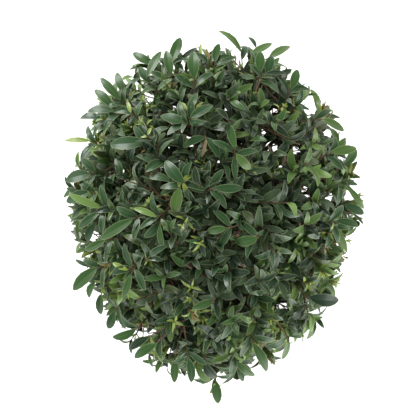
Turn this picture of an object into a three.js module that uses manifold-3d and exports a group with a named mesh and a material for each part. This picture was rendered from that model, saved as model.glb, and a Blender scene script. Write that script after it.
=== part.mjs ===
// Brush cherry bonsai: a clipped, egg-shaped crown of opposite leaves on a short trunk, in a plain oval pot.
// Millimetres, +Z up. The origin is the middle of the pot's flat underside, and +Y is the crown's broad end.
import * as THREE from "three";
import { mergeVertices } from "three/addons/utils/BufferGeometryUtils.js";
import Module from "manifold-3d";

const wasm = await Module();
wasm.setup();

// Pot: an oval of unglazed clay on a low plinth, with a lip and two drain holes
const POT_LENGTH = 190;
const POT_WIDTH = 146;
const POT_HEIGHT = 66;
const POT_WALL = 6;
const POT_FLOOR = 9;
const LIP_HEIGHT = 9;
const LIP_OVERHANG = 3.5;
const LIP_EDGE = 1.4;
const WALL_SLOPE = 11;
const PLINTH_HEIGHT = 5;
const PLINTH_INSET = 5;
const FOOT_EDGE = 2;
const POT_SEGMENTS = 32;
const DRAIN_RADIUS = 7;
const DRAIN_OFFSET = 40;
const DRAIN_SIDES = 16;

// Soil: level round the trunk, falling a little towards the wall
const GROUND_LEVEL = 60;
const SOIL_FALL = 3;
const SOIL_LEVEL_SHARE = 0.5;
const SOIL_WALL_GAP = 0.45;

// Clearance between pieces that touch on the plant
const SEAT_GAP = 0.3;

// Crown: an egg round its widest level, deeper above than below
const CROWN_LEVEL = 285;
const CROWN_HALF_WIDTH = 137;
const CROWN_HALF_DEPTH = 162;
const CROWN_RISE = 126;
const CROWN_DROP = 100;
const CROWN_TAPER = 0.08;

// Trunk: root flare, taper and a gentle double bend
const TRUNK_FOOT_RADIUS = 14;
const TRUNK_TIP_RADIUS = 4.2;
const TRUNK_TIP_LEVEL = 326;
const FLARE_SPREAD = 12;
const FLARE_HEIGHT = 13;
const ROOT_RIDGES = 5;
const RIDGE_DEPTH = 0.34;
const TRUNK_BEND = 7;
const TRUNK_SWINGS = 5;
const TRUNK_TAPER_CURVE = 0.8;
const RING_CROWDING = 1.4;
const TRUNK_SIDES = 15;
const TRUNK_STEPS = 12;

// Boughs: one for each mass of foliage below the top one
const BOUGH_LOWEST = 176;
const BOUGH_HIGHEST = 303;
const BOUGH_FOOT_RADIUS = 5.2;
const BOUGH_TIP_RADIUS = 2.7;
const BOUGH_ARCH = 9;
const BOUGH_ELBOW = 0.45;
const BOUGH_THINNING = 0.78;
const BOUGH_TAPER_CURVE = 0.8;
const BOUGH_SHORTFALL = 6;
const BOUGH_SIDES = 6;
const BOUGH_STEPS = 4;

// Masses of foliage: hubs spaced evenly round the crown, each with its own cell of the crown
const MASS_COUNT = 13;
const HUB_REACH = 0.61;
const LOWEST_HUB = -0.8;
const SETTLING_ROUNDS = 20;
const SETTLING_SPOTS = 900;
const CORE_RADIUS = 22;
const CORE_LUMPS = 0.2;
const CORE_LEAVES = 6;
const CORE_LEAF_SINK = 3.5;
const CORE_LEAF_SPLAY = 62;
const CELL_MARGIN = 0.25;
const LIMB_CLEARANCE = 2.2;
const LIMB_PLACE_SPACING = 3;

// Shoots and leaves: larger than life by about half, so that fewer of them fill the crown
const SHOOT_COUNT = 89;
const LOWEST_SHOOT = -0.9;
const SHOOT_REACH = 0.9;
const STEM_RADIUS = 2.3;
const STEM_SIDES = 6;
const TWIG_RADIUS = 1.9;
const SIDE_TWIG_RADIUS = 1.2;
const TWIG_TIP_RADIUS = 0.9;
const TWIG_SIDES = 3;
const FORK_SHARE = 0.5;
const FORK_SCATTER = 0.06;
const TIP_MARGIN = 1.5;
const PAIR_SPACING = 13;
const PAIRS_ON_A_SHOOT = 3;
const LEAF_LENGTH = 40;
const LEAF_WIDTH = 16.5;
const LEAF_THICKNESS = 0.9;
const LEAF_ROOT = 0.2;
const LEAF_SPLAY = 56;
const LEAF_BOW = 0.12;
const LEAF_TOUCH = 1.3;
const LEAF_BASE_TAPER = 0.85;
const LEAF_SPLAY_SCATTER = 9;
const LEAF_SIZE_SCATTER = 0.1;
const CROWN_LIMIT = 1.05;

// Sizes that a twig, and turns and sizes that a leaf, tries until it has room and joins cleanly
const TWIG_SIZES = [1, 0.93, 1.07, 0.86, 1.14];
const LEAF_TURNS = [0, 0.4, -0.4, 0.8, -0.8, 1.2, -1.2];
const LEAF_SIZES = [1, 0.78];
const LEAF_TRIES = LEAF_SIZES.flatMap((size) => LEAF_TURNS.map((turn) => [turn, size]));
const SEED = 12;

// Shoots that stand out past the clipped surface: direction in plan, level, and how far they reach
const STRAY_SHOOTS = [
  { heading: 96, level: 0.1, reach: 1.1 },
  { heading: -89, level: -0.1, reach: 1.11 },
  { heading: 154, level: 0.15, reach: 1.08 },
  { heading: 209, level: 0.05, reach: 1.08 },
  { heading: 2, level: 0.05, reach: 1.06 },
];

// A stray shoot ends in a leaf that carries its line on
const STRAY_LEAF_SHARE = 0.95;
const STRAY_SPLAY = 14;
const STRAY_ALLOWANCE = 0.04;

// Gaps that let light through, as columns along the line of sight: place at the widest level, and radius
const SIGHT_ELEVATION = 80;
const SKY_GAPS = [
  { x: 64, y: -88, radius: 6 },
  { x: 66, y: 88, radius: 6 },
  { x: 99, y: 22, radius: 5 },
  { x: -90, y: 62, radius: 5 },
];

const UP = new THREE.Vector3(0, 0, 1);
const AHEAD = new THREE.Vector3(0, 1, 0);
const GOLDEN_TURN = Math.PI * (3 - Math.sqrt(5));
const WELD = 1e-4;
const FINEST_EDGE = 0.02;
const FINE_GRID = 0.00125;

const radians = THREE.MathUtils.degToRad;
const lerp = THREE.MathUtils.lerp;

const clay = new THREE.MeshStandardMaterial({ color: 0x5d4034, roughness: 0.8, metalness: 0 });
const earth = new THREE.MeshStandardMaterial({ color: 0x3a2c22, roughness: 0.95, metalness: 0 });
const bark = new THREE.MeshStandardMaterial({ color: 0x746455, roughness: 0.85, metalness: 0 });
const leafGreen = new THREE.MeshStandardMaterial({ color: 0x3d5a2c, roughness: 0.45, metalness: 0 });

// A seeded source of numbers from 0 to 1
function seededRandom(seed) {
  let state = seed >>> 0;
  return () => {
    state = (state + 0x6d2b79f5) >>> 0;
    let mixed = Math.imul(state ^ (state >>> 15), state | 1);
    mixed ^= mixed + Math.imul(mixed ^ (mixed >>> 7), mixed | 61);
    return ((mixed ^ (mixed >>> 14)) >>> 0) / 4294967296;
  };
}

// A geometry with only its places and faces, its shared corners merged and its collapsed faces left out
function weld(geometry) {
  const bare = new THREE.BufferGeometry();
  bare.setAttribute("position", geometry.getAttribute("position"));
  bare.setIndex(geometry.getIndex());
  const merged = mergeVertices(bare, WELD);
  const corners = merged.getIndex().array;
  const faces = [];
  for (let i = 0; i < corners.length; i += 3) {
    const [a, b, c] = corners.slice(i, i + 3);
    if (a !== b && b !== c && c !== a) {
      faces.push(a, b, c);
    }
  }
  merged.setIndex(faces);
  return merged;
}

// A closed geometry as a solid
function toSolid(geometry) {
  const welded = weld(geometry);
  const vertProperties = new Float32Array(welded.getAttribute("position").array);
  const triVerts = new Uint32Array(welded.getIndex().array);
  return new wasm.Manifold(new wasm.Mesh({ numProp: 3, vertProperties, triVerts }));
}

// A solid as a geometry whose corners lie on a fine grid, so that no two of them nearly meet
function toGeometry(solid) {
  const mesh = solid.getMesh();
  const places = mesh.vertProperties.map((place) => Math.round(place / FINE_GRID) * FINE_GRID);
  const geometry = new THREE.BufferGeometry();
  geometry.setAttribute("position", new THREE.BufferAttribute(places, 3));
  geometry.setIndex(new THREE.BufferAttribute(mesh.triVerts, 1));
  return weld(geometry);
}

// The places of a geometry's corners
function cornersOf(geometry) {
  const position = geometry.getAttribute("position");
  const corner = (unused, i) => new THREE.Vector3().fromBufferAttribute(position, i);
  return Array.from({ length: position.count }, corner);
}

// Whether every edge of a geometry is shared by exactly two faces
function isClosed(geometry) {
  const corners = geometry.getIndex().array;
  const shares = new Map();
  for (let i = 0; i < corners.length; i += 3) {
    for (const [from, to] of [[0, 1], [1, 2], [2, 0]]) {
      const edge = [corners[i + from], corners[i + to]].sort((a, b) => a - b).join(" ");
      shares.set(edge, (shares.get(edge) ?? 0) + 1);
    }
  }
  return [...shares.values()].every((count) => count === 2);
}

// The largest body of a union, without edges too short to see, with any hollow filled and any scrap dropped
function largestBody(solid) {
  const bodies = solid.simplify(FINEST_EDGE).decompose();
  bodies.sort((a, b) => b.volume() - a.volume());
  return bodies[0];
}

// A named mesh with flat-shaded faces
function namedMesh(name, geometry, material) {
  const faceted = geometry.toNonIndexed();
  faceted.computeVertexNormals();
  const mesh = new THREE.Mesh(faceted, material);
  mesh.name = name;
  return mesh;
}

// A closed limb: a cylinder whose rings follow a curve, with a radius for each place along and around it
function limbGeometry({ curve, radiusAt, sides, steps, level = false }) {
  const geometry = new THREE.CylinderGeometry(1, 1, 1, sides, steps);
  const position = geometry.getAttribute("position");
  const reference = level || Math.abs(curve.getTangentAt(0.5).z) > 0.8 ? AHEAD : UP;
  for (let i = 0; i < position.count; i += 1) {
    const share = THREE.MathUtils.clamp(position.getY(i) + 0.5, 0, 1);
    const [x, z] = [position.getX(i), position.getZ(i)];
    const radius = radiusAt(share, Math.atan2(z, x));
    const along = level ? UP : curve.getTangentAt(share);
    const side = new THREE.Vector3().crossVectors(reference, along).normalize();
    const depth = new THREE.Vector3().crossVectors(side, along);
    const point = curve.getPointAt(share);
    point.addScaledVector(side, x * radius).addScaledVector(depth, z * radius);
    position.setXYZ(i, point.x, point.y, point.z);
  }
  return geometry;
}

// Places along a limb with the radius there, for keeping foliage clear of it
function limbPlaces(limb) {
  const count = Math.ceil(limb.curve.getLength() / LIMB_PLACE_SPACING);
  return Array.from({ length: count + 1 }, (unused, i) => ({
    point: limb.curve.getPointAt(i / count),
    radius: limb.radiusAt(i / count, 0),
  }));
}

// How far a point is beyond the space that a limb needs
function clearance(point, place) {
  return place.point.distanceTo(point) - place.radius - LIMB_CLEARANCE;
}

// A straight twig, narrower at its end
function twigGeometry(start, end, startRadius, endRadius) {
  const curve = new THREE.LineCurve3(start, end);
  const radiusAt = (share) => lerp(startRadius, endRadius, share);
  return limbGeometry({ curve, radiusAt, sides: TWIG_SIDES, steps: 1 });
}

// The place in the crown along a unit direction, as a share of the way from its middle to its surface
function crownPoint(direction, share) {
  const height = direction.z > 0 ? CROWN_RISE : CROWN_DROP;
  return new THREE.Vector3(
    direction.x * CROWN_HALF_WIDTH * (1 + CROWN_TAPER * direction.y) * share,
    direction.y * CROWN_HALF_DEPTH * share,
    CROWN_LEVEL + direction.z * height * share,
  );
}

// How far out in the crown a point lies: 1 is the clipped surface
function crownReach(point) {
  const y = point.y / CROWN_HALF_DEPTH;
  const x = point.x / (CROWN_HALF_WIDTH * (1 + CROWN_TAPER * y));
  const rise = point.z - CROWN_LEVEL;
  const z = rise / (rise > 0 ? CROWN_RISE : CROWN_DROP);
  return Math.hypot(x, y, z);
}

// Unit directions spread evenly from straight up down to the lowest one
function spreadDirections(count, lowest) {
  return Array.from({ length: count }, (unused, i) => {
    const z = 1 - ((1 - lowest) * (i + 0.5)) / count;
    const ring = Math.sqrt(1 - z * z);
    const turn = i * GOLDEN_TURN;
    return new THREE.Vector3(ring * Math.cos(turn), ring * Math.sin(turn), z);
  });
}

function nearestIndex(point, places) {
  const distances = places.map((place) => place.distanceTo(point));
  return distances.indexOf(Math.min(...distances));
}

function inSkyGap(point) {
  const ahead = point.y + (point.z - CROWN_LEVEL) / Math.tan(radians(SIGHT_ELEVATION));
  return SKY_GAPS.some((gap) => Math.hypot(point.x - gap.x, ahead - gap.y) < gap.radius);
}

// The pot's outer wall leans out as it rises, and the inner wall runs beside it
function potOuterRadius(level) {
  return POT_LENGTH / 2 - LIP_OVERHANG - WALL_SLOPE * (1 - level / POT_HEIGHT);
}

function ovalLathe(points) {
  const profile = points.map(([radius, level]) => new THREE.Vector2(radius, level));
  const geometry = new THREE.LatheGeometry(profile, POT_SEGMENTS);
  geometry.rotateX(Math.PI / 2);
  geometry.scale(POT_WIDTH / POT_LENGTH, 1, 1);
  return geometry;
}

function makePot() {
  const lipRadius = POT_LENGTH / 2;
  const lipFoot = POT_HEIGHT - LIP_HEIGHT;
  const plinthRadius = potOuterRadius(0) - PLINTH_INSET;
  const body = ovalLathe([
    [0, 0],
    [plinthRadius, 0],
    [plinthRadius, PLINTH_HEIGHT],
    [potOuterRadius(PLINTH_HEIGHT) - FOOT_EDGE, PLINTH_HEIGHT],
    [potOuterRadius(PLINTH_HEIGHT + FOOT_EDGE), PLINTH_HEIGHT + FOOT_EDGE],
    [potOuterRadius(lipFoot), lipFoot],
    [lipRadius - LIP_EDGE, lipFoot],
    [lipRadius, lipFoot + LIP_EDGE],
    [lipRadius, POT_HEIGHT - LIP_EDGE],
    [lipRadius - LIP_EDGE, POT_HEIGHT],
    [potOuterRadius(POT_HEIGHT) - POT_WALL + LIP_EDGE, POT_HEIGHT],
    [potOuterRadius(POT_HEIGHT) - POT_WALL, POT_HEIGHT - LIP_EDGE],
    [potOuterRadius(POT_FLOOR) - POT_WALL, POT_FLOOR],
    [0, POT_FLOOR],
  ]);
  let solid = toSolid(body);
  for (const side of [-1, 1]) {
    const drain = new THREE.CylinderGeometry(DRAIN_RADIUS, DRAIN_RADIUS, 3 * POT_FLOOR, DRAIN_SIDES);
    drain.rotateX(Math.PI / 2);
    drain.translate(0, side * DRAIN_OFFSET, 0);
    solid = solid.subtract(toSolid(drain));
  }
  return namedMesh("pot", toGeometry(solid), clay);
}

function makeSoil() {
  const edgeLevel = GROUND_LEVEL - SOIL_FALL;
  const soilRadius = (level) => potOuterRadius(level) - POT_WALL - SOIL_WALL_GAP;
  const floor = POT_FLOOR + SEAT_GAP;
  const heap = ovalLathe([
    [0, floor],
    [soilRadius(floor), floor],
    [soilRadius(edgeLevel), edgeLevel],
    [soilRadius(edgeLevel) * SOIL_LEVEL_SHARE, GROUND_LEVEL],
    [0, GROUND_LEVEL],
  ]);
  return namedMesh("soil", toGeometry(toSolid(heap)), earth);
}

// The trunk's middle line swings to one side and back on its way up
const trunkFoot = GROUND_LEVEL + SEAT_GAP;
const trunkHeight = TRUNK_TIP_LEVEL - trunkFoot;

function trunkMiddle(level) {
  const share = (level - trunkFoot) / trunkHeight;
  const swing = TRUNK_BEND * Math.sin(Math.PI * share);
  const turn = TRUNK_SWINGS * share;
  return new THREE.Vector3(swing * Math.sin(turn), -swing * Math.cos(turn), level);
}

const trunkLevels = Array.from({ length: 17 }, (unused, i) => trunkFoot + (trunkHeight * i) / 16);
const trunkLine = new THREE.CatmullRomCurve3(trunkLevels.map(trunkMiddle));

function trunkRadius(share, angle) {
  const taper = lerp(TRUNK_FOOT_RADIUS, TRUNK_TIP_RADIUS, share ** TRUNK_TAPER_CURVE);
  const flare = Math.exp((-share * trunkHeight) / FLARE_HEIGHT);
  const ridge = 1 + RIDGE_DEPTH * Math.cos(ROOT_RIDGES * angle + 0.7 * Math.sin(angle));
  return taper + FLARE_SPREAD * flare * ridge;
}

// The trunk's rings are level, and closer together at the root flare
function trunkGeometry(margin) {
  const radiusAt = (share, angle) => trunkRadius(share ** RING_CROWDING, angle) + margin;
  const curve = new THREE.Curve();
  curve.getPointAt = (share) => trunkLine.getPointAt(share ** RING_CROWDING);
  return limbGeometry({ curve, radiusAt, sides: TRUNK_SIDES, steps: TRUNK_STEPS, level: true });
}

// The hubs of the masses: the top one stays on the trunk's line, and the rest settle evenly round the crown
function massHubs() {
  const directions = spreadDirections(MASS_COUNT, LOWEST_HUB);
  directions[0].copy(UP);
  const spots = spreadDirections(SETTLING_SPOTS, LOWEST_SHOOT);
  for (let round = 0; round < SETTLING_ROUNDS; round += 1) {
    const sums = directions.map(() => new THREE.Vector3());
    spots.forEach((spot) => sums[nearestIndex(spot, directions)].add(spot));
    sums.forEach((sum, i) => i > 0 && directions[i].copy(sum.normalize()));
  }
  return directions.map((direction) => crownPoint(direction, HUB_REACH));
}

// A bough leaves the trunk's middle line, arches out and ends short of its mass's core
function boughLimb(hub, order, count) {
  const share = order / (count - 1);
  const start = trunkMiddle(lerp(BOUGH_LOWEST, BOUGH_HIGHEST, share));
  const outward = new THREE.Vector3(hub.x - start.x, hub.y - start.y, 0);
  const elbow = start.clone().addScaledVector(outward, BOUGH_ELBOW);
  elbow.z = lerp(start.z, hub.z, BOUGH_ELBOW) + BOUGH_ARCH;
  const inward = elbow.clone().sub(hub).normalize();
  const tip = hub.clone().addScaledVector(inward, CORE_RADIUS + BOUGH_SHORTFALL);
  const curve = new THREE.QuadraticBezierCurve3(start, elbow, tip);
  const footRadius = BOUGH_FOOT_RADIUS * lerp(1, BOUGH_THINNING, share);
  const radiusAt = (along) => lerp(footRadius, BOUGH_TIP_RADIUS, along ** BOUGH_TAPER_CURVE);
  return { curve, radiusAt, sides: BOUGH_SIDES, steps: BOUGH_STEPS };
}

// A leaf blade: six points round an ellipse, with the tip and the two nearest the root a little raised,
// and the whole arched along its rib
const leafPattern = new THREE.OctahedronGeometry(1).rotateZ(-Math.PI / 4).rotateY(-Math.atan(Math.SQRT2));
leafPattern.rotateX(Math.PI);

function leafGeometry(leaf) {
  const geometry = leafPattern.clone();
  const position = geometry.getAttribute("position");
  const ring = Math.sqrt(2 / 3);
  const halfWidth = leaf.halfWidth / Math.sin(Math.PI / 3);
  for (let i = 0; i < position.count; i += 1) {
    const round = (1 + position.getX(i) / ring) / 2;
    const share = round < WELD ? 0 : round ** LEAF_BASE_TAPER;
    const raised = (Math.sign(position.getZ(i)) * LEAF_THICKNESS) / 2;
    const lift = (share > 0 ? raised : 0) + LEAF_BOW * leaf.length * share * (1 - share);
    const point = leaf.root.clone().addScaledVector(leaf.along, share * leaf.length - LEAF_ROOT);
    point.addScaledVector(leaf.across, (position.getY(i) / ring) * halfWidth);
    point.addScaledVector(leaf.face, lift);
    position.setXYZ(i, point.x, point.y, point.z);
  }
  return geometry;
}

// Whether a straight edge comes within touch of a leaf's blade
function edgeCutsLeaf(edgeStart, edgeEnd, leaf) {
  const middle = leafPlace(leaf, 0.5, 0);
  const start = edgeStart.clone().sub(middle);
  const end = edgeEnd.clone().sub(middle);
  const onBlade = (point) => {
    const along = point.dot(leaf.along) / (leaf.length / 2);
    return Math.hypot(along, point.dot(leaf.across) / leaf.halfWidth) < 0.95;
  };
  const [startLift, endLift] = [start.dot(leaf.face), end.dot(leaf.face)];
  if (startLift * endLift < 0) {
    return onBlade(start.lerp(end, startLift / (startLift - endLift)));
  }
  return [0.1, 0.4, 0.7, 1].some((share) => {
    const point = start.clone().lerp(end, share);
    return Math.abs(point.dot(leaf.face)) < LEAF_TOUCH && onBlade(point);
  });
}

// Whether the rib or an edge of one leaf passes through the blade of another
function leafCutsLeaf(leaf, other) {
  const [root, left, right, tip] = [[0, 0], [0.4, -1], [0.4, 1], [1, 0]].map((at) => leafPlace(leaf, ...at));
  const edges = [[root, tip], [root, left], [root, right], [left, tip], [right, tip]];
  return edges.some(([start, end]) => edgeCutsLeaf(start, end, other));
}

function leafPlace(leaf, share, side) {
  const point = leaf.root.clone().addScaledVector(leaf.along, share * leaf.length);
  return point.addScaledVector(leaf.across, side * leaf.halfWidth);
}

// One mass of foliage: a stem from its bough's tip, a core, twigs with side shoots, and leaves on them
class FoliageMass {
  constructor({ hub, rivals, limbs, stemStart, targets, seed }) {
    this.hub = hub;
    this.rivals = rivals;
    this.limbs = limbs;
    this.random = seededRandom(seed);
    this.twigs = [];
    this.leaves = [];
    this.addStem(stemStart);
    this.addCore();
    this.growTwigs(targets);
    this.twigs.forEach((twig) => this.addLeaves(twig));
    this.addCoreLeaves();
  }

  scatter(size) {
    return (this.random() * 2 - 1) * size;
  }

  // Inside the cell of points nearer to this hub than to any other, and clear of every limb and sky gap
  hasRoom(points, limit) {
    return points.every((point) => {
      if (crownReach(point) > limit || inSkyGap(point)) {
        return false;
      }
      const inCell = this.rivals.every((rival) => {
        const apart = rival.clone().sub(this.hub);
        const middle = rival.clone().add(this.hub).multiplyScalar(0.5);
        return point.clone().sub(middle).dot(apart) / apart.length() < -CELL_MARGIN;
      });
      return inCell && this.limbs.every((place) => clearance(point, place) > 0);
    });
  }

  // Joins a piece on, unless it would meet the rest edge on edge and leave no clean solid
  join(geometry) {
    const piece = toSolid(geometry);
    const joined = this.body ? this.body.add(piece) : piece;
    const finished = toGeometry(largestBody(joined));
    if (!isClosed(finished)) {
      return false;
    }
    this.body = joined;
    this.geometry = finished;
    return true;
  }

  addStem({ point, along }) {
    const start = point.clone().addScaledVector(along, SEAT_GAP);
    const middle = start.clone().addScaledVector(along, start.distanceTo(this.hub) * 0.5);
    const curve = new THREE.QuadraticBezierCurve3(start, middle, this.hub);
    this.join(limbGeometry({ curve, radiusAt: () => STEM_RADIUS, sides: STEM_SIDES, steps: 2 }));
  }

  addCore() {
    const radius = Math.min(CORE_RADIUS, ...this.limbs.map((place) => clearance(this.hub, place)));
    const core = weld(new THREE.IcosahedronGeometry(radius));
    const position = core.getAttribute("position");
    for (let i = 0; i < position.count; i += 1) {
      const point = new THREE.Vector3().fromBufferAttribute(position, i);
      point.multiplyScalar(1 - CORE_LUMPS * this.random()).add(this.hub);
      position.setXYZ(i, point.x, point.y, point.z);
    }
    this.join(core);
    this.coreRadius = radius;
  }

  // Twigs run from the hub to shoot tips, and each throws a side shoot to the nearest tip that is left
  growTwigs(targets) {
    const waiting = [...targets];
    while (waiting.length > 0) {
      const main = waiting.shift();
      if (!this.addTwig(this.hub, main, TWIG_RADIUS)) {
        continue;
      }
      waiting.sort((a, b) => a.point.distanceTo(main.point) - b.point.distanceTo(main.point));
      const side = waiting.shift();
      if (side) {
        const fork = this.hub.clone().lerp(main.point, FORK_SHARE + this.scatter(FORK_SCATTER));
        this.addTwig(fork, side, SIDE_TWIG_RADIUS);
      }
    }
  }

  addTwig(start, { point, limit }, radius) {
    const places = [0.4, 0.6, 0.8, 1].map((share) => start.clone().lerp(point, share));
    const grow = (size) => this.join(twigGeometry(start, point, radius * size, TWIG_TIP_RADIUS));
    const grown = this.hasRoom(places, limit) && TWIG_SIZES.some(grow);
    if (grown) {
      this.twigs.push({ start, end: point, limit });
    }
    return grown;
  }

  // Opposite pairs from the tip back, each pair a quarter turn from the one before
  addLeaves({ start, end, limit }) {
    const along = end.clone().sub(start);
    const room = along.length() - CORE_RADIUS * (start === this.hub);
    along.normalize();
    const turn = this.random() * Math.PI;
    if (limit > CROWN_LIMIT) {
      this.addLeaf(end.clone().addScaledVector(along, -TIP_MARGIN), along, turn, STRAY_SPLAY, limit);
    }
    for (let pair = 0; pair < PAIRS_ON_A_SHOOT && TIP_MARGIN + pair * PAIR_SPACING < room; pair += 1) {
      const node = end.clone().addScaledVector(along, -TIP_MARGIN - pair * PAIR_SPACING);
      this.addPair(node, along, turn + (pair * Math.PI) / 2, limit);
    }
  }

  addPair(node, along, turn, limit) {
    for (const side of [0, Math.PI]) {
      this.addLeaf(node, along, turn + side, LEAF_SPLAY, limit);
    }
  }

  // A leaf is turned or shortened a little until it has room, or else left out
  addLeaf(node, along, turn, splay, limit) {
    const beside = new THREE.Vector3().crossVectors(Math.abs(along.z) < 0.9 ? UP : AHEAD, along).normalize();
    for (const [swing, scale] of LEAF_TRIES) {
      const outward = beside.clone().applyAxisAngle(along, turn + swing);
      const spread = radians(splay + this.scatter(LEAF_SPLAY_SCATTER));
      const leaf = this.leafAt(node, along, outward, spread, scale * (1 + this.scatter(LEAF_SIZE_SCATTER)));
      const geometry = leafGeometry(leaf);
      if (!this.crosses(leaf) && this.hasRoom(cornersOf(geometry), limit) && this.join(geometry)) {
        this.leaves.push(leaf);
        return;
      }
    }
  }

  // Single leaves that stand out of the core, all round the side that faces out of the crown
  addCoreLeaves() {
    const outward = this.hub.clone().sub(new THREE.Vector3(0, 0, CROWN_LEVEL)).normalize();
    for (const normal of spreadDirections(CORE_LEAVES, -1)) {
      if (normal.dot(outward) < 0) {
        continue;
      }
      const depth = this.coreRadius * (1 - CORE_LUMPS) - CORE_LEAF_SINK;
      const root = this.hub.clone().addScaledVector(normal, depth);
      this.addLeaf(root, normal, this.random() * 2 * Math.PI, CORE_LEAF_SPLAY, CROWN_LIMIT);
    }
  }

  crosses(leaf) {
    const cutByLeaf = this.leaves.some((other) => leafCutsLeaf(leaf, other) || leafCutsLeaf(other, leaf));
    return cutByLeaf || this.twigs.some((twig) => edgeCutsLeaf(twig.start, twig.end, leaf));
  }

  leafAt(root, shoot, outward, splay, size) {
    const along = shoot.clone().multiplyScalar(Math.cos(splay)).addScaledVector(outward, Math.sin(splay));
    const face = shoot.clone().multiplyScalar(Math.sin(splay)).addScaledVector(outward, -Math.cos(splay));
    const across = new THREE.Vector3().crossVectors(face, along);
    return { root, along, face, across, length: LEAF_LENGTH * size, halfWidth: (LEAF_WIDTH * size) / 2 };
  }
}

// The stray shoots, and then shoot tips spread evenly over the crown
function shootTips() {
  const even = spreadDirections(SHOOT_COUNT, LOWEST_SHOOT).map((direction) => ({
    point: crownPoint(direction, SHOOT_REACH),
    limit: CROWN_LIMIT,
  }));
  const strays = STRAY_SHOOTS.map(({ heading, level, reach }) => {
    const turn = radians(heading);
    const direction = new THREE.Vector3(Math.cos(turn), Math.sin(turn), level);
    const tipShare = reach - STRAY_LEAF_SHARE * (LEAF_LENGTH / CROWN_HALF_DEPTH);
    return { point: crownPoint(direction, tipShare), limit: reach + STRAY_ALLOWANCE };
  });
  return [...strays, ...even];
}

function makePlant() {
  const plant = new THREE.Group();
  const trunk = namedMesh("trunk", toGeometry(toSolid(trunkGeometry(0))), bark);
  const trunkSpace = toSolid(trunkGeometry(SEAT_GAP));
  plant.add(trunk);

  const hubs = massHubs();
  const lowestFirst = hubs.map((hub, i) => i).slice(1).sort((a, b) => hubs[a].z - hubs[b].z);
  const boughs = new Map();
  lowestFirst.forEach((index, order) => boughs.set(index, boughLimb(hubs[index], order, lowestFirst.length)));
  const limbs = limbPlaces({ curve: trunkLine, radiusAt: trunkRadius });
  boughs.forEach((bough) => limbs.push(...limbPlaces(bough)));
  const tips = shootTips();

  hubs.forEach((hub, index) => {
    const label = index === 0 ? "top" : String(index).padStart(2, "0");
    const bough = boughs.get(index);
    if (bough) {
      const solid = largestBody(toSolid(limbGeometry(bough)).subtract(trunkSpace));
      plant.add(namedMesh(`bough_${label}`, toGeometry(solid), bark));
    }
    const stemStart = bough
      ? { point: bough.curve.getPointAt(1), along: bough.curve.getTangentAt(1) }
      : { point: trunkLine.getPointAt(1), along: UP };
    const mass = new FoliageMass({
      hub,
      rivals: hubs.filter((rival) => rival !== hub),
      limbs,
      stemStart,
      targets: tips.filter((tip) => nearestIndex(tip.point, hubs) === index),
      seed: SEED + index,
    });
    plant.add(namedMesh(`foliage_${label}`, mass.geometry, leafGreen));
  });
  return plant;
}

const bonsai = new THREE.Group();
bonsai.add(makePot(), makeSoil(), makePlant());

export default bonsai;
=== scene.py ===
"""A brush cherry bonsai in a plain oval clay pot, dressed over its CAD solids.

The limbs follow the rule of the solids. Each mass of foliage is carried on to finer twigs and to
the opposite pairs of small glossy leaves that they bear.
"""

import math
import random

import bpy
import numpy as np
from bpy.props import FloatProperty, FloatVectorProperty, IntProperty, PointerProperty
from bpy.types import Operator, Panel, PropertyGroup
from mathutils import Matrix, Vector
from mathutils.kdtree import KDTree


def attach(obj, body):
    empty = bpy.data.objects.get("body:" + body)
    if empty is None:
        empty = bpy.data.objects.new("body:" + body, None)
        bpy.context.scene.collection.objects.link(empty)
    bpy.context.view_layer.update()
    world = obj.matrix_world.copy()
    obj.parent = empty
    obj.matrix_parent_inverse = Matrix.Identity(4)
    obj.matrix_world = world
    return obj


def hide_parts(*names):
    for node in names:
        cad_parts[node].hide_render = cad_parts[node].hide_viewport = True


bl_info = {
    "name": "Brush Cherry Bonsai",
    "version": (1, 0, 0),
    "blender": (4, 5, 0),
    "location": "View3D > Sidebar > Bonsai",
    "description": "Dresses a clipped bonsai with its pot, soil, bark, twigs and leaves",
    "category": "Add Mesh",
}

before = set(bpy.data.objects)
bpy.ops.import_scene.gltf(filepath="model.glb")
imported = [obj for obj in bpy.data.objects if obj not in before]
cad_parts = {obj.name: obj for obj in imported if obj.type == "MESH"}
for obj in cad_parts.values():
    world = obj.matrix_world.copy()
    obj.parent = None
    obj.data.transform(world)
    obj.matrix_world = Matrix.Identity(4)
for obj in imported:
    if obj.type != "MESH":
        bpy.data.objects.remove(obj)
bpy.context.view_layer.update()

UP = Vector((0, 0, 1))
ACROSS = Vector((1, 0, 0))
ALONG = Vector((0, 1, 0))
GOLDEN_TURN = math.pi * (3 - math.sqrt(5))
BLACK = (0, 0, 0)
WHITE = (1, 1, 1)

# The photograph's side in pixels, and the width of the camera's sensor in millimetres
IMAGE_SIDE = 416
SENSOR_WIDTH = 36

# Most triangles in one joined piece of leaves
PIECE_LIMIT = 185000

FOLIAGE_NODES = sorted(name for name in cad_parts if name.startswith("foliage"))

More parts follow.
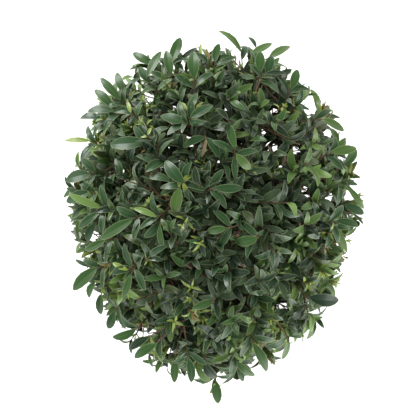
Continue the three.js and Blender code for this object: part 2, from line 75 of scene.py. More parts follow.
# Single leaves that stand out, in the photograph's frame: column and row of the root and of the
# tip, the kind, and the width as a share of the length
# A leaf's kind follows how pale it looks where it lies. On a leaf in strong light, a paler kind is
# partly its own colour and partly painted light.
MARKED_LEAVES = (
    (241, 52, 220, 28, "mid", 0.24), (269, 58, 290, 44, "mid", 0.4),
    (251, 54, 272, 42, "mid", 0.38), (260, 72, 261, 51, "green", 0.46),
    (264, 74, 286, 72, "dark", 0.28), (256, 48, 249, 36, "cool", 0.34),
    (291, 89, 298, 69, "green", 0.42), (214, 379, 218, 404, "green", 0.38),
    (216, 384, 223, 386, "lime", 0.3), (215, 383, 210, 394, "lime", 0.3),
    (236, 371, 222, 385, "cool", 0.22), (90, 141, 64, 140, "lime", 0.22),
    (101, 208, 68, 194, "fresh", 0.22), (97, 268, 72, 290, "green", 0.38),
    (93, 267, 74, 260, "cool", 0.22), (95, 282, 88, 298, "green", 0.44),
    (345, 184, 366, 208, "mid", 0.22), (344, 205, 365, 213, "leafy", 0.42),
    (352, 213, 364, 224, "dark", 0.2), (346, 236, 357, 227, "mid", 0.2),
    (331, 152, 357, 148, "mid", 0.36), (344, 166, 358, 149, "green", 0.42),
    (338, 144, 331, 127, "mid", 0.42), (323, 119, 345, 130, "mid", 0.4),
    (309, 297, 340, 301, "dark", 0.42), (133, 219, 99, 239, "green", 0.28),
    (157, 217, 133, 208, "fresh", 0.24), (160, 225, 163, 249, "green", 0.26),
    (235, 148, 229, 123, "green", 0.34), (236, 154, 252, 169, "mid", 0.42),
    (146, 142, 109, 143, "leafy", 0.38), (185, 121, 160, 115, "leafy", 0.44),
    (190, 118, 213, 104, "leafy", 0.4), (180, 188, 174, 214, "mid", 0.46),
    (214, 188, 243, 187, "leafy", 0.32), (226, 228, 206, 231, "green", 0.42),
    (258, 238, 234, 242, "green", 0.44), (131, 274, 122, 298, "green", 0.3),
    (128, 270, 112, 263, "lime", 0.3), (155, 65, 133, 51, "green", 0.36),
    (147, 77, 160, 50, "green", 0.32), (121, 100, 100, 77, "green", 0.28),
    (113, 107, 94, 89, "green", 0.34), (101, 118, 79, 117, "cool", 0.38),
    (114, 111, 87, 110, "leafy", 0.34), (194, 78, 193, 51, "green", 0.44),
    (170, 64, 179, 36, "green", 0.36), (171, 75, 166, 50, "green", 0.36),
    (180, 60, 196, 47, "dark", 0.3), (201, 58, 201, 43, "lime", 0.22),
    (209, 60, 206, 48, "bronze", 0.22), (215, 62, 219, 43, "green", 0.38),
    (90, 174, 65, 180, "leafy", 0.5), (90, 192, 65, 201, "leafy", 0.46),
    (86, 206, 71, 218, "leafy", 0.42), (100, 212, 77, 228, "leafy", 0.3),
    (96, 223, 86, 242, "leafy", 0.42), (105, 240, 84, 250, "green", 0.36),
    (206, 139, 201, 158, "dry", 0.17), (101, 294, 99, 315, "leafy", 0.44),
    (115, 311, 107, 329, "leafy", 0.46), (136, 329, 112, 338, "green", 0.34),
    (149, 337, 130, 350, "dark", 0.36), (149, 354, 152, 368, "leafy", 0.3),
    (157, 343, 134, 359, "green", 0.34), (175, 358, 174, 383, "green", 0.34),
    (188, 358, 191, 383, "leafy", 0.34), (196, 365, 207, 383, "mid", 0.32),
    (204, 362, 217, 379, "dark", 0.46), (236, 361, 255, 377, "green", 0.32),
    (253, 343, 267, 372, "green", 0.3), (289, 341, 283, 360, "mid", 0.32),
    (311, 325, 308, 340, "mid", 0.36), (336, 221, 359, 226, "leafy", 0.32),
    (337, 228, 348, 252, "mid", 0.28), (145, 172, 164, 160, "leafy", 0.44),
    (184, 183, 165, 160, "leafy", 0.42), (182, 183, 171, 188, "lime", 0.42),
    (182, 182, 193, 175, "lime", 0.4), (183, 183, 187, 195, "lime", 0.4),
    (181, 182, 177, 171, "lime", 0.36), (147, 137, 138, 136, "lime", 0.4),
    (148, 135, 151, 127, "lime", 0.36), (187, 110, 181, 102, "lime", 0.36),
    (187, 110, 193, 103, "lime", 0.36), (131, 113, 127, 101, "lime", 0.3),
    (267, 74, 272, 55, "leafy", 0.46), (262, 70, 255, 52, "leafy", 0.42),
    (124, 92, 116, 72, "green", 0.4),
)

# Places in the photograph's frame where a spray is young or paler, and the kind it gets
# Some of the paler sprays stand where the leaves catch strong light, and there the paler kind is
# partly painted light. The lime and bronze sprays are young growth.
PALE_SPRAYS = (
    (176, 188, "lime"), (232, 132, "fresh"), (186, 104, "lime"), (143, 132, "lime"),
    (131, 108, "lime"), (150, 60, "mid"), (251, 66, "lime"), (228, 66, "lime"),
    (277, 62, "lime"), (318, 108, "bronze"), (160, 240, "lime"), (162, 256, "lime"),
    (120, 266, "fresh"), (110, 300, "lime"), (105, 118, "fresh"), (92, 142, "lime"),
    (80, 188, "bronze"), (126, 142, "mid"), (140, 212, "fresh"), (203, 236, "lime"),
    (271, 172, "lime"), (343, 213, "lime"), (352, 170, "bronze"), (346, 240, "lime"),
    (292, 198, "fresh"), (302, 254, "fresh"), (318, 118, "fresh"), (162, 360, "lime"),
    (212, 390, "lime"), (240, 378, "lime"), (295, 342, "lime"), (300, 330, "bronze"),
    (264, 350, "lime"), (200, 322, "lime"), (258, 262, "mid"), (226, 318, "mid"),
)

# Places in the photograph's frame where the sky shows through the crown, with the radius in pixels
SKY_GAPS = np.array((
    (196.8, 376.5, 3.3), (325.7, 133.6, 3.2), (222.8, 380.7, 3.2), (282.4, 305.7, 3.1),
    (327.5, 198.5, 2.5), (307.7, 104.8, 2.1), (277.5, 306.6, 2.3), (142.5, 336.1, 2.3),
    (149.4, 98.6, 2.2), (345.6, 153.6, 2.2), (291.6, 340.2, 2.2), (238.4, 57.6, 2.1),
    (137.6, 340.5, 2.1), (163.4, 52.7, 2), (276.3, 145.7, 3), (133.6, 330.2, 2),
    (195.6, 371.2, 2), (267.1, 147.6, 2.8), (123.4, 169.4, 1.9), (174.5, 108.3, 1.8),
    (152.6, 75.6, 1.6), (303.6, 189.6, 2.4), (96.4, 233.6, 1.6), (93.6, 239.6, 1.6),
    (171.4, 351.4, 1.6), (184.2, 68.5, 1.5), (137.2, 87.5, 1.5), (225.5, 110.5, 1.5),
    (308.8, 114.5, 1.4), (93.8, 253.5, 1.5), (153.5, 331.5, 1.5), (244.7, 64.3, 1.4),
    (263.7, 131.7, 2.1), (339.7, 220.7, 1.4), (242.5, 144.5, 1.3), (171, 124, 1.1),
    (273, 142.5, 1.7), (142.8, 147.8, 1.1), (297.2, 210.2, 1.1), (350, 196, 2.7),
    (274, 112, 3.2), (295, 151, 2.5), (307, 197, 1.8), (281, 165, 1.8), (108, 90, 1.7),
    (117, 192, 1.7), (125, 181, 1.2), (170, 146, 1.2), (189, 137, 1.2),
))


def linear(red, green, blue):
    """Scene-linear colour of a screen colour given in 0 to 255."""

    def lift(level):
        share = level / 255
        return share / 12.92 if share <= 0.04045 else ((share + 0.055) / 1.055) ** 2.4

    return tuple(lift(level) for level in (red, green, blue))


def size(name, description, default):
    """A length that the panel shows in the scene's unit."""
    return FloatProperty(
        name=name, description=description, default=default, min=0, unit="LENGTH", precision=4
    )


def share_of(name, description, default):
    """A plain number."""
    return FloatProperty(name=name, description=description, default=default, precision=3)


def number_of(name, description, default, least=1):
    """A whole number of things."""
    return IntProperty(name=name, description=description, default=default, min=least)


def tint(name, description, default):
    """A colour."""
    return FloatVectorProperty(
        name=name, description=description, default=default, min=0, max=1, size=3, subtype="COLOR"
    )


class PotSettings(PropertyGroup):
    """Sizes and colours of the oval pot."""

    length: size("Length", "The oval's long way over the lip", 0.190)
    width: size("Width", "The oval's short way over the lip", 0.146)
    height: size("Height", "Height over the lip", 0.066)
    wall: size("Wall", "Thickness of the wall", 0.006)
    floor: size("Floor", "Thickness of the floor", 0.009)
    lip_height: size("Lip Height", "Height of the band round the top", 0.009)
    lip_overhang: size("Lip Overhang", "How far the lip stands out from the wall", 0.0035)
    lip_edge: size("Lip Edge", "Rounding of the lip", 0.0014)
    wall_slope: size("Wall Slope", "How far the wall leans out on its way up", 0.011)
    plinth_height: size("Plinth Height", "Height of the set-back foot", 0.005)
    plinth_inset: size("Plinth Inset", "How far the foot is set back", 0.005)
    foot_edge: size("Foot Edge", "Rounding above the foot", 0.002)
    drain_radius: size("Drain Radius", "Radius of a drain hole", 0.007)
    drain_offset: size("Drain Offset", "Distance of a drain hole from the middle", 0.040)
    clay: tint("Clay", "Fired clay", linear(98, 66, 52))
    clay_dark: tint("Dark Clay", "Clay where the fire was hotter", linear(66, 45, 38))
    clay_bloom: tint("Bloom", "Dry mineral bloom on the lip and the foot", linear(142, 118, 100))


class SoilSettings(PropertyGroup):
    """Sizes and colours of the gritty soil."""

    level: size("Level", "Height of the soil at the trunk", 0.060)
    fall: size("Fall", "How far it falls to the wall", 0.003)
    wall_gap: size("Wall Gap", "Gap to the pot's wall", 0.00045)
    grain: size("Grain", "Largest radius of a grain of grit", 0.0026)
    grains: number_of("Grains", "Grains of grit on the surface", 1900)
    earth: tint("Earth", "Moist soil between the grains", linear(58, 44, 34))
    tan_grain: tint("Tan Grain", "Baked clay grains", linear(128, 92, 62))
    grey_grain: tint("Grey Grain", "Pumice grains", linear(150, 142, 130))
    dark_grain: tint("Dark Grain", "Lava grains", linear(62, 48, 42))


class LimbSettings(PropertyGroup):
    """Sizes and colours of the trunk, the boughs and the twigs."""

    seat_gap: size("Seat Gap", "Gap between the solids of trunk and soil", 0.0003)
    foot_radius: size("Foot Radius", "Radius of the trunk above its roots", 0.014)
    tip_radius: size("Tip Radius", "Radius of the trunk at its tip", 0.0042)
    tip_level: size("Tip Level", "Height of the trunk's tip", 0.326)
    flare_spread: size("Flare Spread", "How far the roots spread at the soil", 0.012)
    flare_height: size("Flare Height", "Height in which the roots draw in", 0.013)
    root_ridges: number_of("Root Ridges", "Ridges round the foot", 5)
    ridge_depth: share_of("Ridge Depth", "Depth of the ridges, as a share of the flare", 0.34)
    bend: size("Bend", "How far the trunk swings aside", 0.007)
    swings: share_of("Swings", "Turn of the swing on the way up, in radians", 5)
    taper_curve: share_of("Taper Curve", "How fast a limb thins", 0.8)
    bough_lowest: size("Lowest Bough", "Height of the first bough", 0.176)
    bough_highest: size("Highest Bough", "Height of the last bough", 0.303)
    bough_foot: size("Bough Foot", "Radius of the lowest bough at the trunk", 0.0052)
    bough_tip: size("Bough Tip", "Radius of a bough at its end", 0.0027)
    bough_arch: size("Bough Arch", "How far a bough arches up", 0.009)
    bough_elbow: share_of("Bough Elbow", "Place of the arch along a bough", 0.45)
    bough_thinning: share_of("Bough Thinning", "Size of the highest bough against the lowest", 0.78)
    bough_shortfall: size("Bough Shortfall", "Distance from a bough's end to its hub", 0.028)
    bark: tint("Bark", "Grey-brown bark", linear(118, 101, 84))
    # Bark Furrow darkens the furrows and the cracks where the bump sinks them: partly the bark's
    # own colour and partly painted shade.
    bark_dark: tint("Bark Furrow", "Bark in the furrows", linear(62, 50, 41))
    bark_flake: tint("Bark Flake", "Younger bark where a flake came off", linear(150, 121, 93))
    # The old and young twigs are painted paler than their bark's own brown to lift the shade inside
    # the crown where they stand. Their colour is partly their own and partly painted light.
    old_twig: tint("Old Twig", "Grown twigs", linear(104, 88, 72))
    young_twig: tint("Young Twig", "Red-brown twigs of last year", linear(112, 88, 66))
    new_twig: tint("New Twig", "Orange-brown twigs at the tips", linear(122, 92, 58))


class CrownSettings(PropertyGroup):
    """Sizes of the clipped crown and counts of what grows in it."""

    level: size("Level", "Height of the crown's widest place", 0.285)
    half_width: size("Half Width", "Half of the short way", 0.137)
    half_depth: size("Half Depth", "Half of the long way", 0.162)
    rise: size("Rise", "Height above the widest place", 0.126)
    drop: size("Drop", "Depth below the widest place", 0.100)
    taper: share_of("Taper", "How much wider the back is than the front", 0.08)
    masses: number_of("Masses", "Masses of foliage", 13, least=3)
    hub_reach: share_of("Hub Reach", "Place of a hub between the middle and the surface", 0.61)
    branchlets: number_of("Branchlets", "Twigs that leave the hubs", 104)
    shoots: number_of("Shoots", "Leafy shoots at the surface", 1040)
    shoot_length: size("Shoot Length", "Length of a leafy shoot", 0.046)
    limit: share_of("Limit", "How far a leaf may stand out", 1.018)
    raggedness: share_of("Raggedness", "How much the shoots differ in their reach", 0.045)
    seed: number_of("Seed", "Another seed grows another plant", 12)


class LeafSettings(PropertyGroup):
    """Sizes and colours of the leaves."""

    length: size("Length", "Length of a grown leaf", 0.023)
    width_share: share_of("Width Share", "Width as a share of the length", 0.33)
    thickness: size("Thickness", "Thickness of the blade at its rib", 0.00035)
    # The pale edge is partly the leaf's own margin and partly a painted highlight on lit edges.
    margin: size("Margin", "Width of the pale edge", 0.0005)
    rib: size("Rib", "Half width of the pale rib", 0.0003)
    # The deep colour goes on the inner pairs of each shoot, deep in the crown. It is painted paler
    # than the grown leaves there to lift their shade: painted light.
    deep: tint("Deep", "Shaded inner leaves", linear(71, 96, 64))
    dark: tint("Dark", "Most grown leaves", linear(27, 55, 31))
    leafy: tint("Leafy", "Grown leaves in good light", linear(43, 79, 39))
    green: tint("Green", "Grown leaves in strong light", linear(58, 94, 43))
    mid: tint("Mid", "Paler grown leaves", linear(79, 111, 50))
    cool: tint("Cool", "Grown leaves with a bluish bloom", linear(46, 76, 49))
    olive: tint("Olive", "Grown leaves of last year", linear(70, 88, 46))
    fresh: tint("Fresh", "Leaves of this year", linear(108, 141, 68))
    lime: tint("Lime", "Young leaves at the tips", linear(134, 157, 62))
    bronze: tint("Bronze", "The youngest leaves", linear(136, 114, 62))
    dry: tint("Dry", "A withered leaf", linear(132, 108, 78))


class StageSettings(PropertyGroup):
    """The camera, the lights and the floor."""

    elevation: FloatProperty(
        name="Elevation",
        description="Height of the camera above the horizon",
        default=math.radians(80),
        subtype="ANGLE",
    )
    lens: FloatProperty(name="Lens", description="Focal length", default=85, unit="CAMERA")
    pixel: FloatProperty(
        name="Pixel",
        description="Size of a pixel at the crown's middle",
        default=0.00095,
        unit="LENGTH",
        precision=6,
    )
    aside: share_of("Aside", "Pixels from the image's middle right to the crown's", 5.5)
    below: share_of("Below", "Pixels from the image's middle down to the crown's", 3)
    key: FloatProperty(
        name="Key", description="Large light over the plant", default=25, unit="POWER"
    )
    fill: FloatProperty(
        name="Fill", description="Light from the front", default=26, unit="POWER"
    )
    sky: share_of("Sky", "Strength of the even light from above", 0.25)
    horizon: share_of("Horizon", "Strength of the even light from the sides and from below", 1.45)
    backdrop: share_of("Backdrop", "Brightness of the backdrop behind the floor", 1.0)
    glow: share_of("Glow", "Share of its own light in the white floor", 0.6)
    floor: tint("Floor", "Pale floor", (0.9, 0.9, 0.9))


SETTINGS = (
    ("bonsai_pot", PotSettings),
    ("bonsai_soil", SoilSettings),
    ("bonsai_limbs", LimbSettings),
    ("bonsai_crown", CrownSettings),
    ("bonsai_leaf", LeafSettings),
    ("bonsai_stage", StageSettings),
)


class Value:
    """One output among a finish's nodes. Arithmetic on it adds Math nodes."""

    def __init__(self, finish, socket):
        self.finish = finish
        self.socket = socket

    def _math(self, operation, first, second):
        return self.finish.node("ShaderNodeMath", {"operation": operation}, {0: first, 1: second})

    def __add__(self, other):
        return self._math("ADD", self, other)

    __radd__ = __add__

    def __sub__(self, other):
        return self._math("SUBTRACT", self, other)

    def __rsub__(self, other):
        return self._math("SUBTRACT", other, self)

    def __mul__(self, other):
        return self._math("MULTIPLY", self, other)

    __rmul__ = __mul__


class Finish:
    """A procedural material: its nodes, and what feeds its shader."""

    def __init__(self, name, constants):
        self.material = bpy.data.materials.new(name)
        self.material.use_nodes = True
        self.tree = self.material.node_tree
        self.shader = self.tree.nodes["Principled BSDF"]
        for socket, value in constants.items():
            self.feed(self.shader.inputs[socket], value)

    def feed(self, socket, value):
        """Links an output to a socket, or sets the socket's own value."""
        if isinstance(value, Value):
            self.tree.links.new(value.socket, socket)
        elif socket.type == "RGBA":
            socket.default_value = (*tuple(value)[:3], 1)
        else:
            socket.default_value = value

    def node(self, kind, settings=None, inputs=None, output=0):
        """Adds a node of any kind: its settings first, then its sockets."""
        made = self.tree.nodes.new(kind)
        for name, value in (settings or {}).items():
            setattr(made, name, value)
        for key, value in (inputs or {}).items():
            self.feed(made.inputs[key], value)
        return Value(self, made.outputs[output])

    def drive(self, socket, value):
        """Feeds one of the shader's sockets."""
        self.feed(self.shader.inputs[socket], value)

    def place(self, stretch=(1, 1, 1)):
        """The place in the object's own frame, stretched per axis."""
        spot = self.node("ShaderNodeTexCoord", output="Object")
        return self.node("ShaderNodeMapping", inputs={"Vector": spot, "Scale": stretch})

    def noise(self, spot, scale, detail=3, roughness=0.55):
        """Cloudy noise from 0 to 1."""
        inputs = {"Vector": spot, "Scale": scale, "Detail": detail, "Roughness": roughness}
        return self.node("ShaderNodeTexNoise", inputs=inputs)

    def cell_edges(self, spot, scale):
        """Distance to the nearest edge in a pattern of cells."""
        settings = {"feature": "DISTANCE_TO_EDGE"}
        return self.node("ShaderNodeTexVoronoi", settings, {"Vector": spot, "Scale": scale})

    def band(self, value, low, high):
        """0 below low, 1 above high, and a soft step between."""
        settings = {"interpolation_type": "SMOOTHSTEP"}
        inputs = {"Value": value, "From Min": low, "From Max": high}
        return self.node("ShaderNodeMapRange", settings, inputs)

    def mix(self, factor, first, second):
        """One colour over another."""
        settings = {"data_type": "RGBA"}
        return self.node("ShaderNodeMix", settings, {0: factor, 6: first, 7: second}, output=2)

    def height(self, spot):
        """The place's third coordinate."""
        return self.node("ShaderNodeSeparateXYZ", inputs={0: spot}, output=2)

    def bump(self, height, depth, strength):
        """Raises the surface by a height from 0 to 1."""
        inputs = {"Height": height, "Distance": depth, "Strength": strength}
        self.drive("Normal", self.node("ShaderNodeBump", inputs=inputs))


def mixed(first, second, share):
    """A plain colour between two."""
    return tuple(a + (b - a) * share for a, b in zip(first, second))


def clay_finish(pot):
    """Unglazed clay: fire marks, throwing rings, specks, and bloom on the lip and the foot."""
    clay = Finish("fired_clay", {"Specular IOR Level": 0.35})
    spot = clay.place()
    level = clay.height(spot)
    fire = clay.band(clay.noise(spot, scale=26, detail=4), 0.36, 0.68)
    speck = clay.band(clay.noise(spot, scale=900, detail=2), 0.66, 0.74)
    grain = clay.noise(spot, scale=1600, detail=2)
    rings = clay.noise(clay.place(stretch=(6, 6, 420)), scale=1, detail=2)
    patchy = clay.noise(spot, scale=70, detail=5, roughness=0.7)
    rim = clay.band(level, pot.height - 0.0075, pot.height + 0.001)
    foot = 1 - clay.band(level, 0.001, 0.016)
    bloom = clay.band((rim + foot) * patchy, 0.36, 0.72) * 0.6
    body = clay.mix(fire, pot.clay_dark, pot.clay)
    body = clay.mix(rings * 0.3, body, pot.clay_dark)
    body = clay.mix(speck * 0.7, body, mixed(pot.clay_dark, BLACK, 0.5))
    clay.drive("Base Color", clay.mix(bloom, body, pot.clay_bloom))
    clay.drive("Roughness", 0.66 + 0.2 * patchy - 0.12 * fire)
    clay.bump(grain * 0.35 + rings * 0.65, depth=0.00035, strength=0.8)
    return clay.material


def earth_finish(soil):
    """Moist dark soil with crumbs."""
    earth = Finish("moist_soil", {"Specular IOR Level": 0.3})
    spot = earth.place()
    crumb = earth.noise(spot, scale=420, detail=5, roughness=0.7)
    damp = earth.noise(spot, scale=38, detail=3)
    dark = mixed(soil.earth, BLACK, 0.55)
    earth.drive("Base Color", earth.mix(earth.band(crumb, 0.35, 0.65), dark, soil.earth))
    earth.drive("Roughness", 0.72 + 0.25 * damp)
    earth.bump(crumb, depth=0.0012, strength=0.9)
    return earth.material


def grain_finish(name, colour):
    """Gritty stone for the grains."""
    grit = Finish(name, {"Specular IOR Level": 0.3})
    spot = grit.place()
    pits = grit.noise(spot, scale=900, detail=4, roughness=0.7)
    dark = mixed(colour, BLACK, 0.5)
    grit.drive("Base Color", grit.mix(grit.band(pits, 0.3, 0.62), dark, colour))
    grit.drive("Roughness", 0.8 + 0.15 * pits)
    return grit.material


def bark_finish(limbs):
    """Thin grey-brown bark: furrows up the limb, flaked patches, broken cracks and fine grain."""
    bark = Finish("grey_brown_bark", {"Specular IOR Level": 0.3})
    spot = bark.place()
    tall = bark.place(stretch=(1, 1, 0.24))
    cloud = {"Vector": spot, "Scale": 70, "Detail": 3}
    wander = bark.node("ShaderNodeTexNoise", inputs=cloud, output="Color")
    strays = {0: wander, 1: (0.012, 0.012, 0.012), 2: tall}
    bent = bark.node("ShaderNodeVectorMath", {"operation": "MULTIPLY_ADD"}, strays)
    furrow = bark.noise(bent, scale=170, detail=6, roughness=0.66)
    streak = bark.noise(bent, scale=480, detail=4, roughness=0.6)
    flake = bark.band(bark.noise(bent, scale=95, detail=3, roughness=0.6), 0.52, 0.6)
    # The cracks are sunk by the bump and painted near black, which is painted shade in them. The
    # furrows are darker where the bump sinks them: partly the bark's own colour and partly painted
    # shade.
    seams = 1 - bark.band(bark.cell_edges(bent, scale=150), 0.0, 0.085)
    cracks = seams * bark.band(bark.noise(spot, scale=110, detail=2), 0.42, 0.6)
    fine = bark.noise(spot, scale=1500, detail=3)
    body = bark.mix(bark.band(furrow, 0.34, 0.62), limbs.bark_dark, limbs.bark)
    body = bark.mix(flake * 0.6, body, limbs.bark_flake)
    body = bark.mix(bark.band(streak, 0.52, 0.78) * 0.4, body, mixed(limbs.bark, WHITE, 0.22))
    bark.drive("Base Color", bark.mix(cracks * 0.6, body, mixed(limbs.bark_dark, BLACK, 0.3)))
    bark.drive("Roughness", 0.72 + 0.22 * fine)
    raised = furrow * 0.45 + flake * 0.2 + streak * 0.15 + fine * 0.1
    bark.bump(raised - cracks * 0.35, depth=0.0011, strength=0.9)
    return bark.material


def twig_finish(name, colour):
    """Plain bark of a thin twig."""
    constants = {"Base Color": colour, "Roughness": 0.6, "Specular IOR Level": 0.35}
    return Finish(name, constants).material


def leaf_finishes(kind, colour):
    """Blade, pale edge, rib and dull underside of one kind of leaf, each in its own colour. The
    pale edge is partly the leaf's own paler margin and partly a painted highlight where the edges
    catch the light.
    """
    straw_and_glint = linear(196, 204, 150)
    paler = linear(150, 164, 128)
    gloss = 0.3 if kind == "cool" else 0.17
    strips = (
        ("blade", colour, 0.42, gloss),
        # The edge is partly the leaf's own paler margin and partly a painted highlight on the lit
        # edges.
        ("edge", mixed(colour, straw_and_glint, 0.28), 0.44, gloss),
        ("rib", mixed(colour, straw_and_glint, 0.06), 0.44, gloss),
        ("under", mixed(colour, paler, 0.26), 0.6, 0.0),
    )
    if kind == "dry":
        strips = tuple((name, hue, 0.7, 0.0) for name, hue, unused, also in strips)
    finishes = []
    for name, hue, roughness, coat in strips:
        constants = {
            "Base Color": hue,
            "Roughness": roughness,
            "Coat Weight": coat,
            "Coat Roughness": 0.12,
            "Specular IOR Level": 0.38,
        }
        finishes.append(Finish(f"leaf_{kind}_{name}", constants).material)
    return finishes


def clear_selection():
    """Leaves nothing selected, in object mode."""
    if bpy.context.object and bpy.context.object.mode != "OBJECT":
        bpy.ops.object.mode_set(mode="OBJECT")
    bpy.ops.object.select_all(action="DESELECT")


def take(obj):
    """Makes one object the selected and active one."""
    clear_selection()
    obj.select_set(True)
    bpy.context.view_layer.objects.active = obj


def put_on(obj, materials, slot, *nodes):
    """Gives a finished piece its materials and its place in the frame."""
    obj.data.materials.clear()
    for material in materials:
        obj.data.materials.append(material)
    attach(obj, "root")
    if nodes:
        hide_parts(*nodes)


def apply_modifier(obj, kind, **settings):
    """Adds a modifier and applies it at once."""
    take(obj)
    modifier = obj.modifiers.new(kind.title(), kind)
    for name, value in settings.items():
        setattr(modifier, name, value)
    bpy.ops.object.modifier_apply(modifier=modifier.name)


def relief(obj, name, kind, scale, strength):
    """Pushes the surface in and out by a cloudy texture of its own place."""
    texture = bpy.data.textures.new(name, kind)
    texture.noise_scale = scale
    apply_modifier(
        obj, "DISPLACE", texture=texture, texture_coords="LOCAL", strength=strength, mid_level=0.5
    )
    bpy.data.textures.remove(texture)


def face_outwards():
    """Turns all faces of the object in edit mode outwards, and leaves that mode."""
    bpy.ops.mesh.select_all(action="SELECT")
    bpy.ops.mesh.normals_make_consistent(inside=False)
    bpy.ops.object.mode_set(mode="OBJECT")


def turned_oval(name, profile, stretch, segments):
    """A closed oval vessel: a disc, extruded and resized from ring to ring of its profile."""
    clear_selection()
    radius, level = profile[0]
    bpy.ops.mesh.primitive_circle_add(
        vertices=segments, radius=radius, fill_type="NGON", location=(0, 0, level)
    )
    vessel = bpy.context.object
    vessel.name = vessel.data.name = name
    bpy.ops.object.transform_apply(location=True)
    bpy.ops.object.mode_set(mode="EDIT")
    bpy.ops.mesh.select_mode(type="FACE")
    bpy.ops.mesh.select_all(action="SELECT")
    bpy.ops.transform.resize(value=(stretch, 1, 1), center_override=(0, 0, 0))
    for next_radius, next_level in profile[1:]:
        step = (0, 0, next_level - level)
        bpy.ops.mesh.extrude_region_move(TRANSFORM_OT_translate={"value": step})
        swell = next_radius / radius
        bpy.ops.transform.resize(value=(swell, swell, 1), center_override=(0, 0, next_level))
        radius, level = next_radius, next_level
    face_outwards()
    return vessel


def lerp(first, second, share):
    """Between two numbers or two places."""
    return first + (second - first) * share


def wall_radius(pot, level):
    """The pot's outer half length at a level, under the lip."""
    return pot.length / 2 - pot.lip_overhang - pot.wall_slope * (1 - level / pot.height)


def pot_profile(pot, wall_steps=8):
    """Rings of the pot: up the outside, over the lip and down the inside."""
    lip = pot.length / 2
    lip_foot = pot.height - pot.lip_height
    plinth = wall_radius(pot, 0) - pot.plinth_inset
    inside = wall_radius(pot, pot.height) - pot.wall
    rings = [(plinth, 0), (plinth, pot.plinth_height)]
    rings.append((wall_radius(pot, pot.plinth_height) - pot.foot_edge, pot.plinth_height))
    start = pot.plinth_height + pot.foot_edge
    levels = [lerp(start, lip_foot, i / wall_steps) for i in range(wall_steps + 1)]
    rings += [(wall_radius(pot, level), level) for level in levels]
    rings += [
        (lip - pot.lip_edge, lip_foot),
        (lip, lip_foot + pot.lip_edge),
        (lip, pot.height - pot.lip_edge),
        (lip - pot.lip_edge, pot.height),
        (inside + pot.lip_edge, pot.height),
        (inside, pot.height - pot.lip_edge),
        (wall_radius(pot, pot.floor) - pot.wall, pot.floor),
    ]
    return rings


def soil_level(soil, share):
    """Height of the soil at a share of the way from the trunk to the wall."""
    return soil.level - soil.fall * max(0, 2 * share - 1)


def soil_rings(soil, pot, floor_gap=0.0003, steps=22):
    """Rings of the heap of soil: up the wall, then over the top to the middle."""
    edge = soil.level - soil.fall

    def reach(level):
        return wall_radius(pot, level) - pot.wall - soil.wall_gap

    floor = pot.floor + floor_gap
    shares = [1 - i / steps for i in range(1, steps)]
    rings = [(reach(floor), floor), (reach(edge), edge)]
    return rings + [(reach(edge) * share, soil_level(soil, share)) for share in shares]


def spread(count, lowest):
    """Directions spread evenly over a sphere, from straight up to a lowest one."""
    ways = []
    for i in range(count):
        rise = 1 - (1 - lowest) * (i + 0.5) / count
        ring = math.sqrt(1 - rise * rise)
        turn = i * GOLDEN_TURN
        ways.append(Vector((ring * math.cos(turn), ring * math.sin(turn), rise)))
    return ways


def crown_point(crown, way, share):
    """The place in a direction, at a share of the way from the crown's middle to its surface."""
    side = way.x * crown.half_width * (1 + crown.taper * way.y)
    depth = way.y * crown.half_depth
    height = crown.rise if way.z > 0 else crown.drop
    return Vector((side * share, depth * share, crown.level + way.z * height * share))


def crown_reach(crown, point):
    """How far out a place is: 1 on the clipped surface."""
    depth = point.y / crown.half_depth
    rise = point.z - crown.level
    rise /= crown.rise if rise > 0 else crown.drop
    side = point.x / (crown.half_width * (1 + crown.taper * max(-1, min(1, depth))))
    return math.sqrt(side * side + depth * depth + rise * rise)


def crown_outward(crown, point):
    """The direction in which the clipped surface faces at a place."""
    rise = point.z - crown.level
    height = crown.rise if rise > 0 else crown.drop
    slope = (point.x / crown.half_width**2, point.y / crown.half_depth**2, rise / height**2)
    return Vector(slope).normalized()


def mass_hubs(crown, marks=900, rounds=20):
    """The hubs of the masses, settled until they share the surface evenly."""
    ways = spread(crown.masses, -0.8)
    ways[0] = UP.copy()
    spots = np.array([tuple(spot) for spot in spread(marks, -0.9)])
    for unused in range(rounds):
        places = np.array([tuple(way) for way in ways])
        nearest = np.argmax(spots @ places.T, axis=1)
        for i in range(1, len(ways)):
            ways[i] = Vector(spots[nearest == i].sum(axis=0)).normalized()
    return [crown_point(crown, way, crown.hub_reach) for way in ways]


def trunk_middle(limbs, soil, level):
    """The trunk's middle line, which swings to one side and back on its way up."""
    foot = soil.level + limbs.seat_gap
    share = (level - foot) / (limbs.tip_level - foot)
    swing = limbs.bend * math.sin(math.pi * max(0, share))
    turn = limbs.swings * share
    return Vector((swing * math.sin(turn), -swing * math.cos(turn), level))


def trunk_radius(limbs, soil, level, angle):
    """The trunk's radius, with the root ridges round its foot."""
    foot = soil.level + limbs.seat_gap
    share = max(0, (level - foot) / (limbs.tip_level - foot))
    taper = lerp(limbs.foot_radius, limbs.tip_radius, share**limbs.taper_curve)
    flare = math.exp(-max(0, level - foot) / limbs.flare_height)
    ridge = 1 + limbs.ridge_depth * math.cos(limbs.root_ridges * angle + 0.7 * math.sin(angle))
    return taper + limbs.flare_spread * flare * ridge


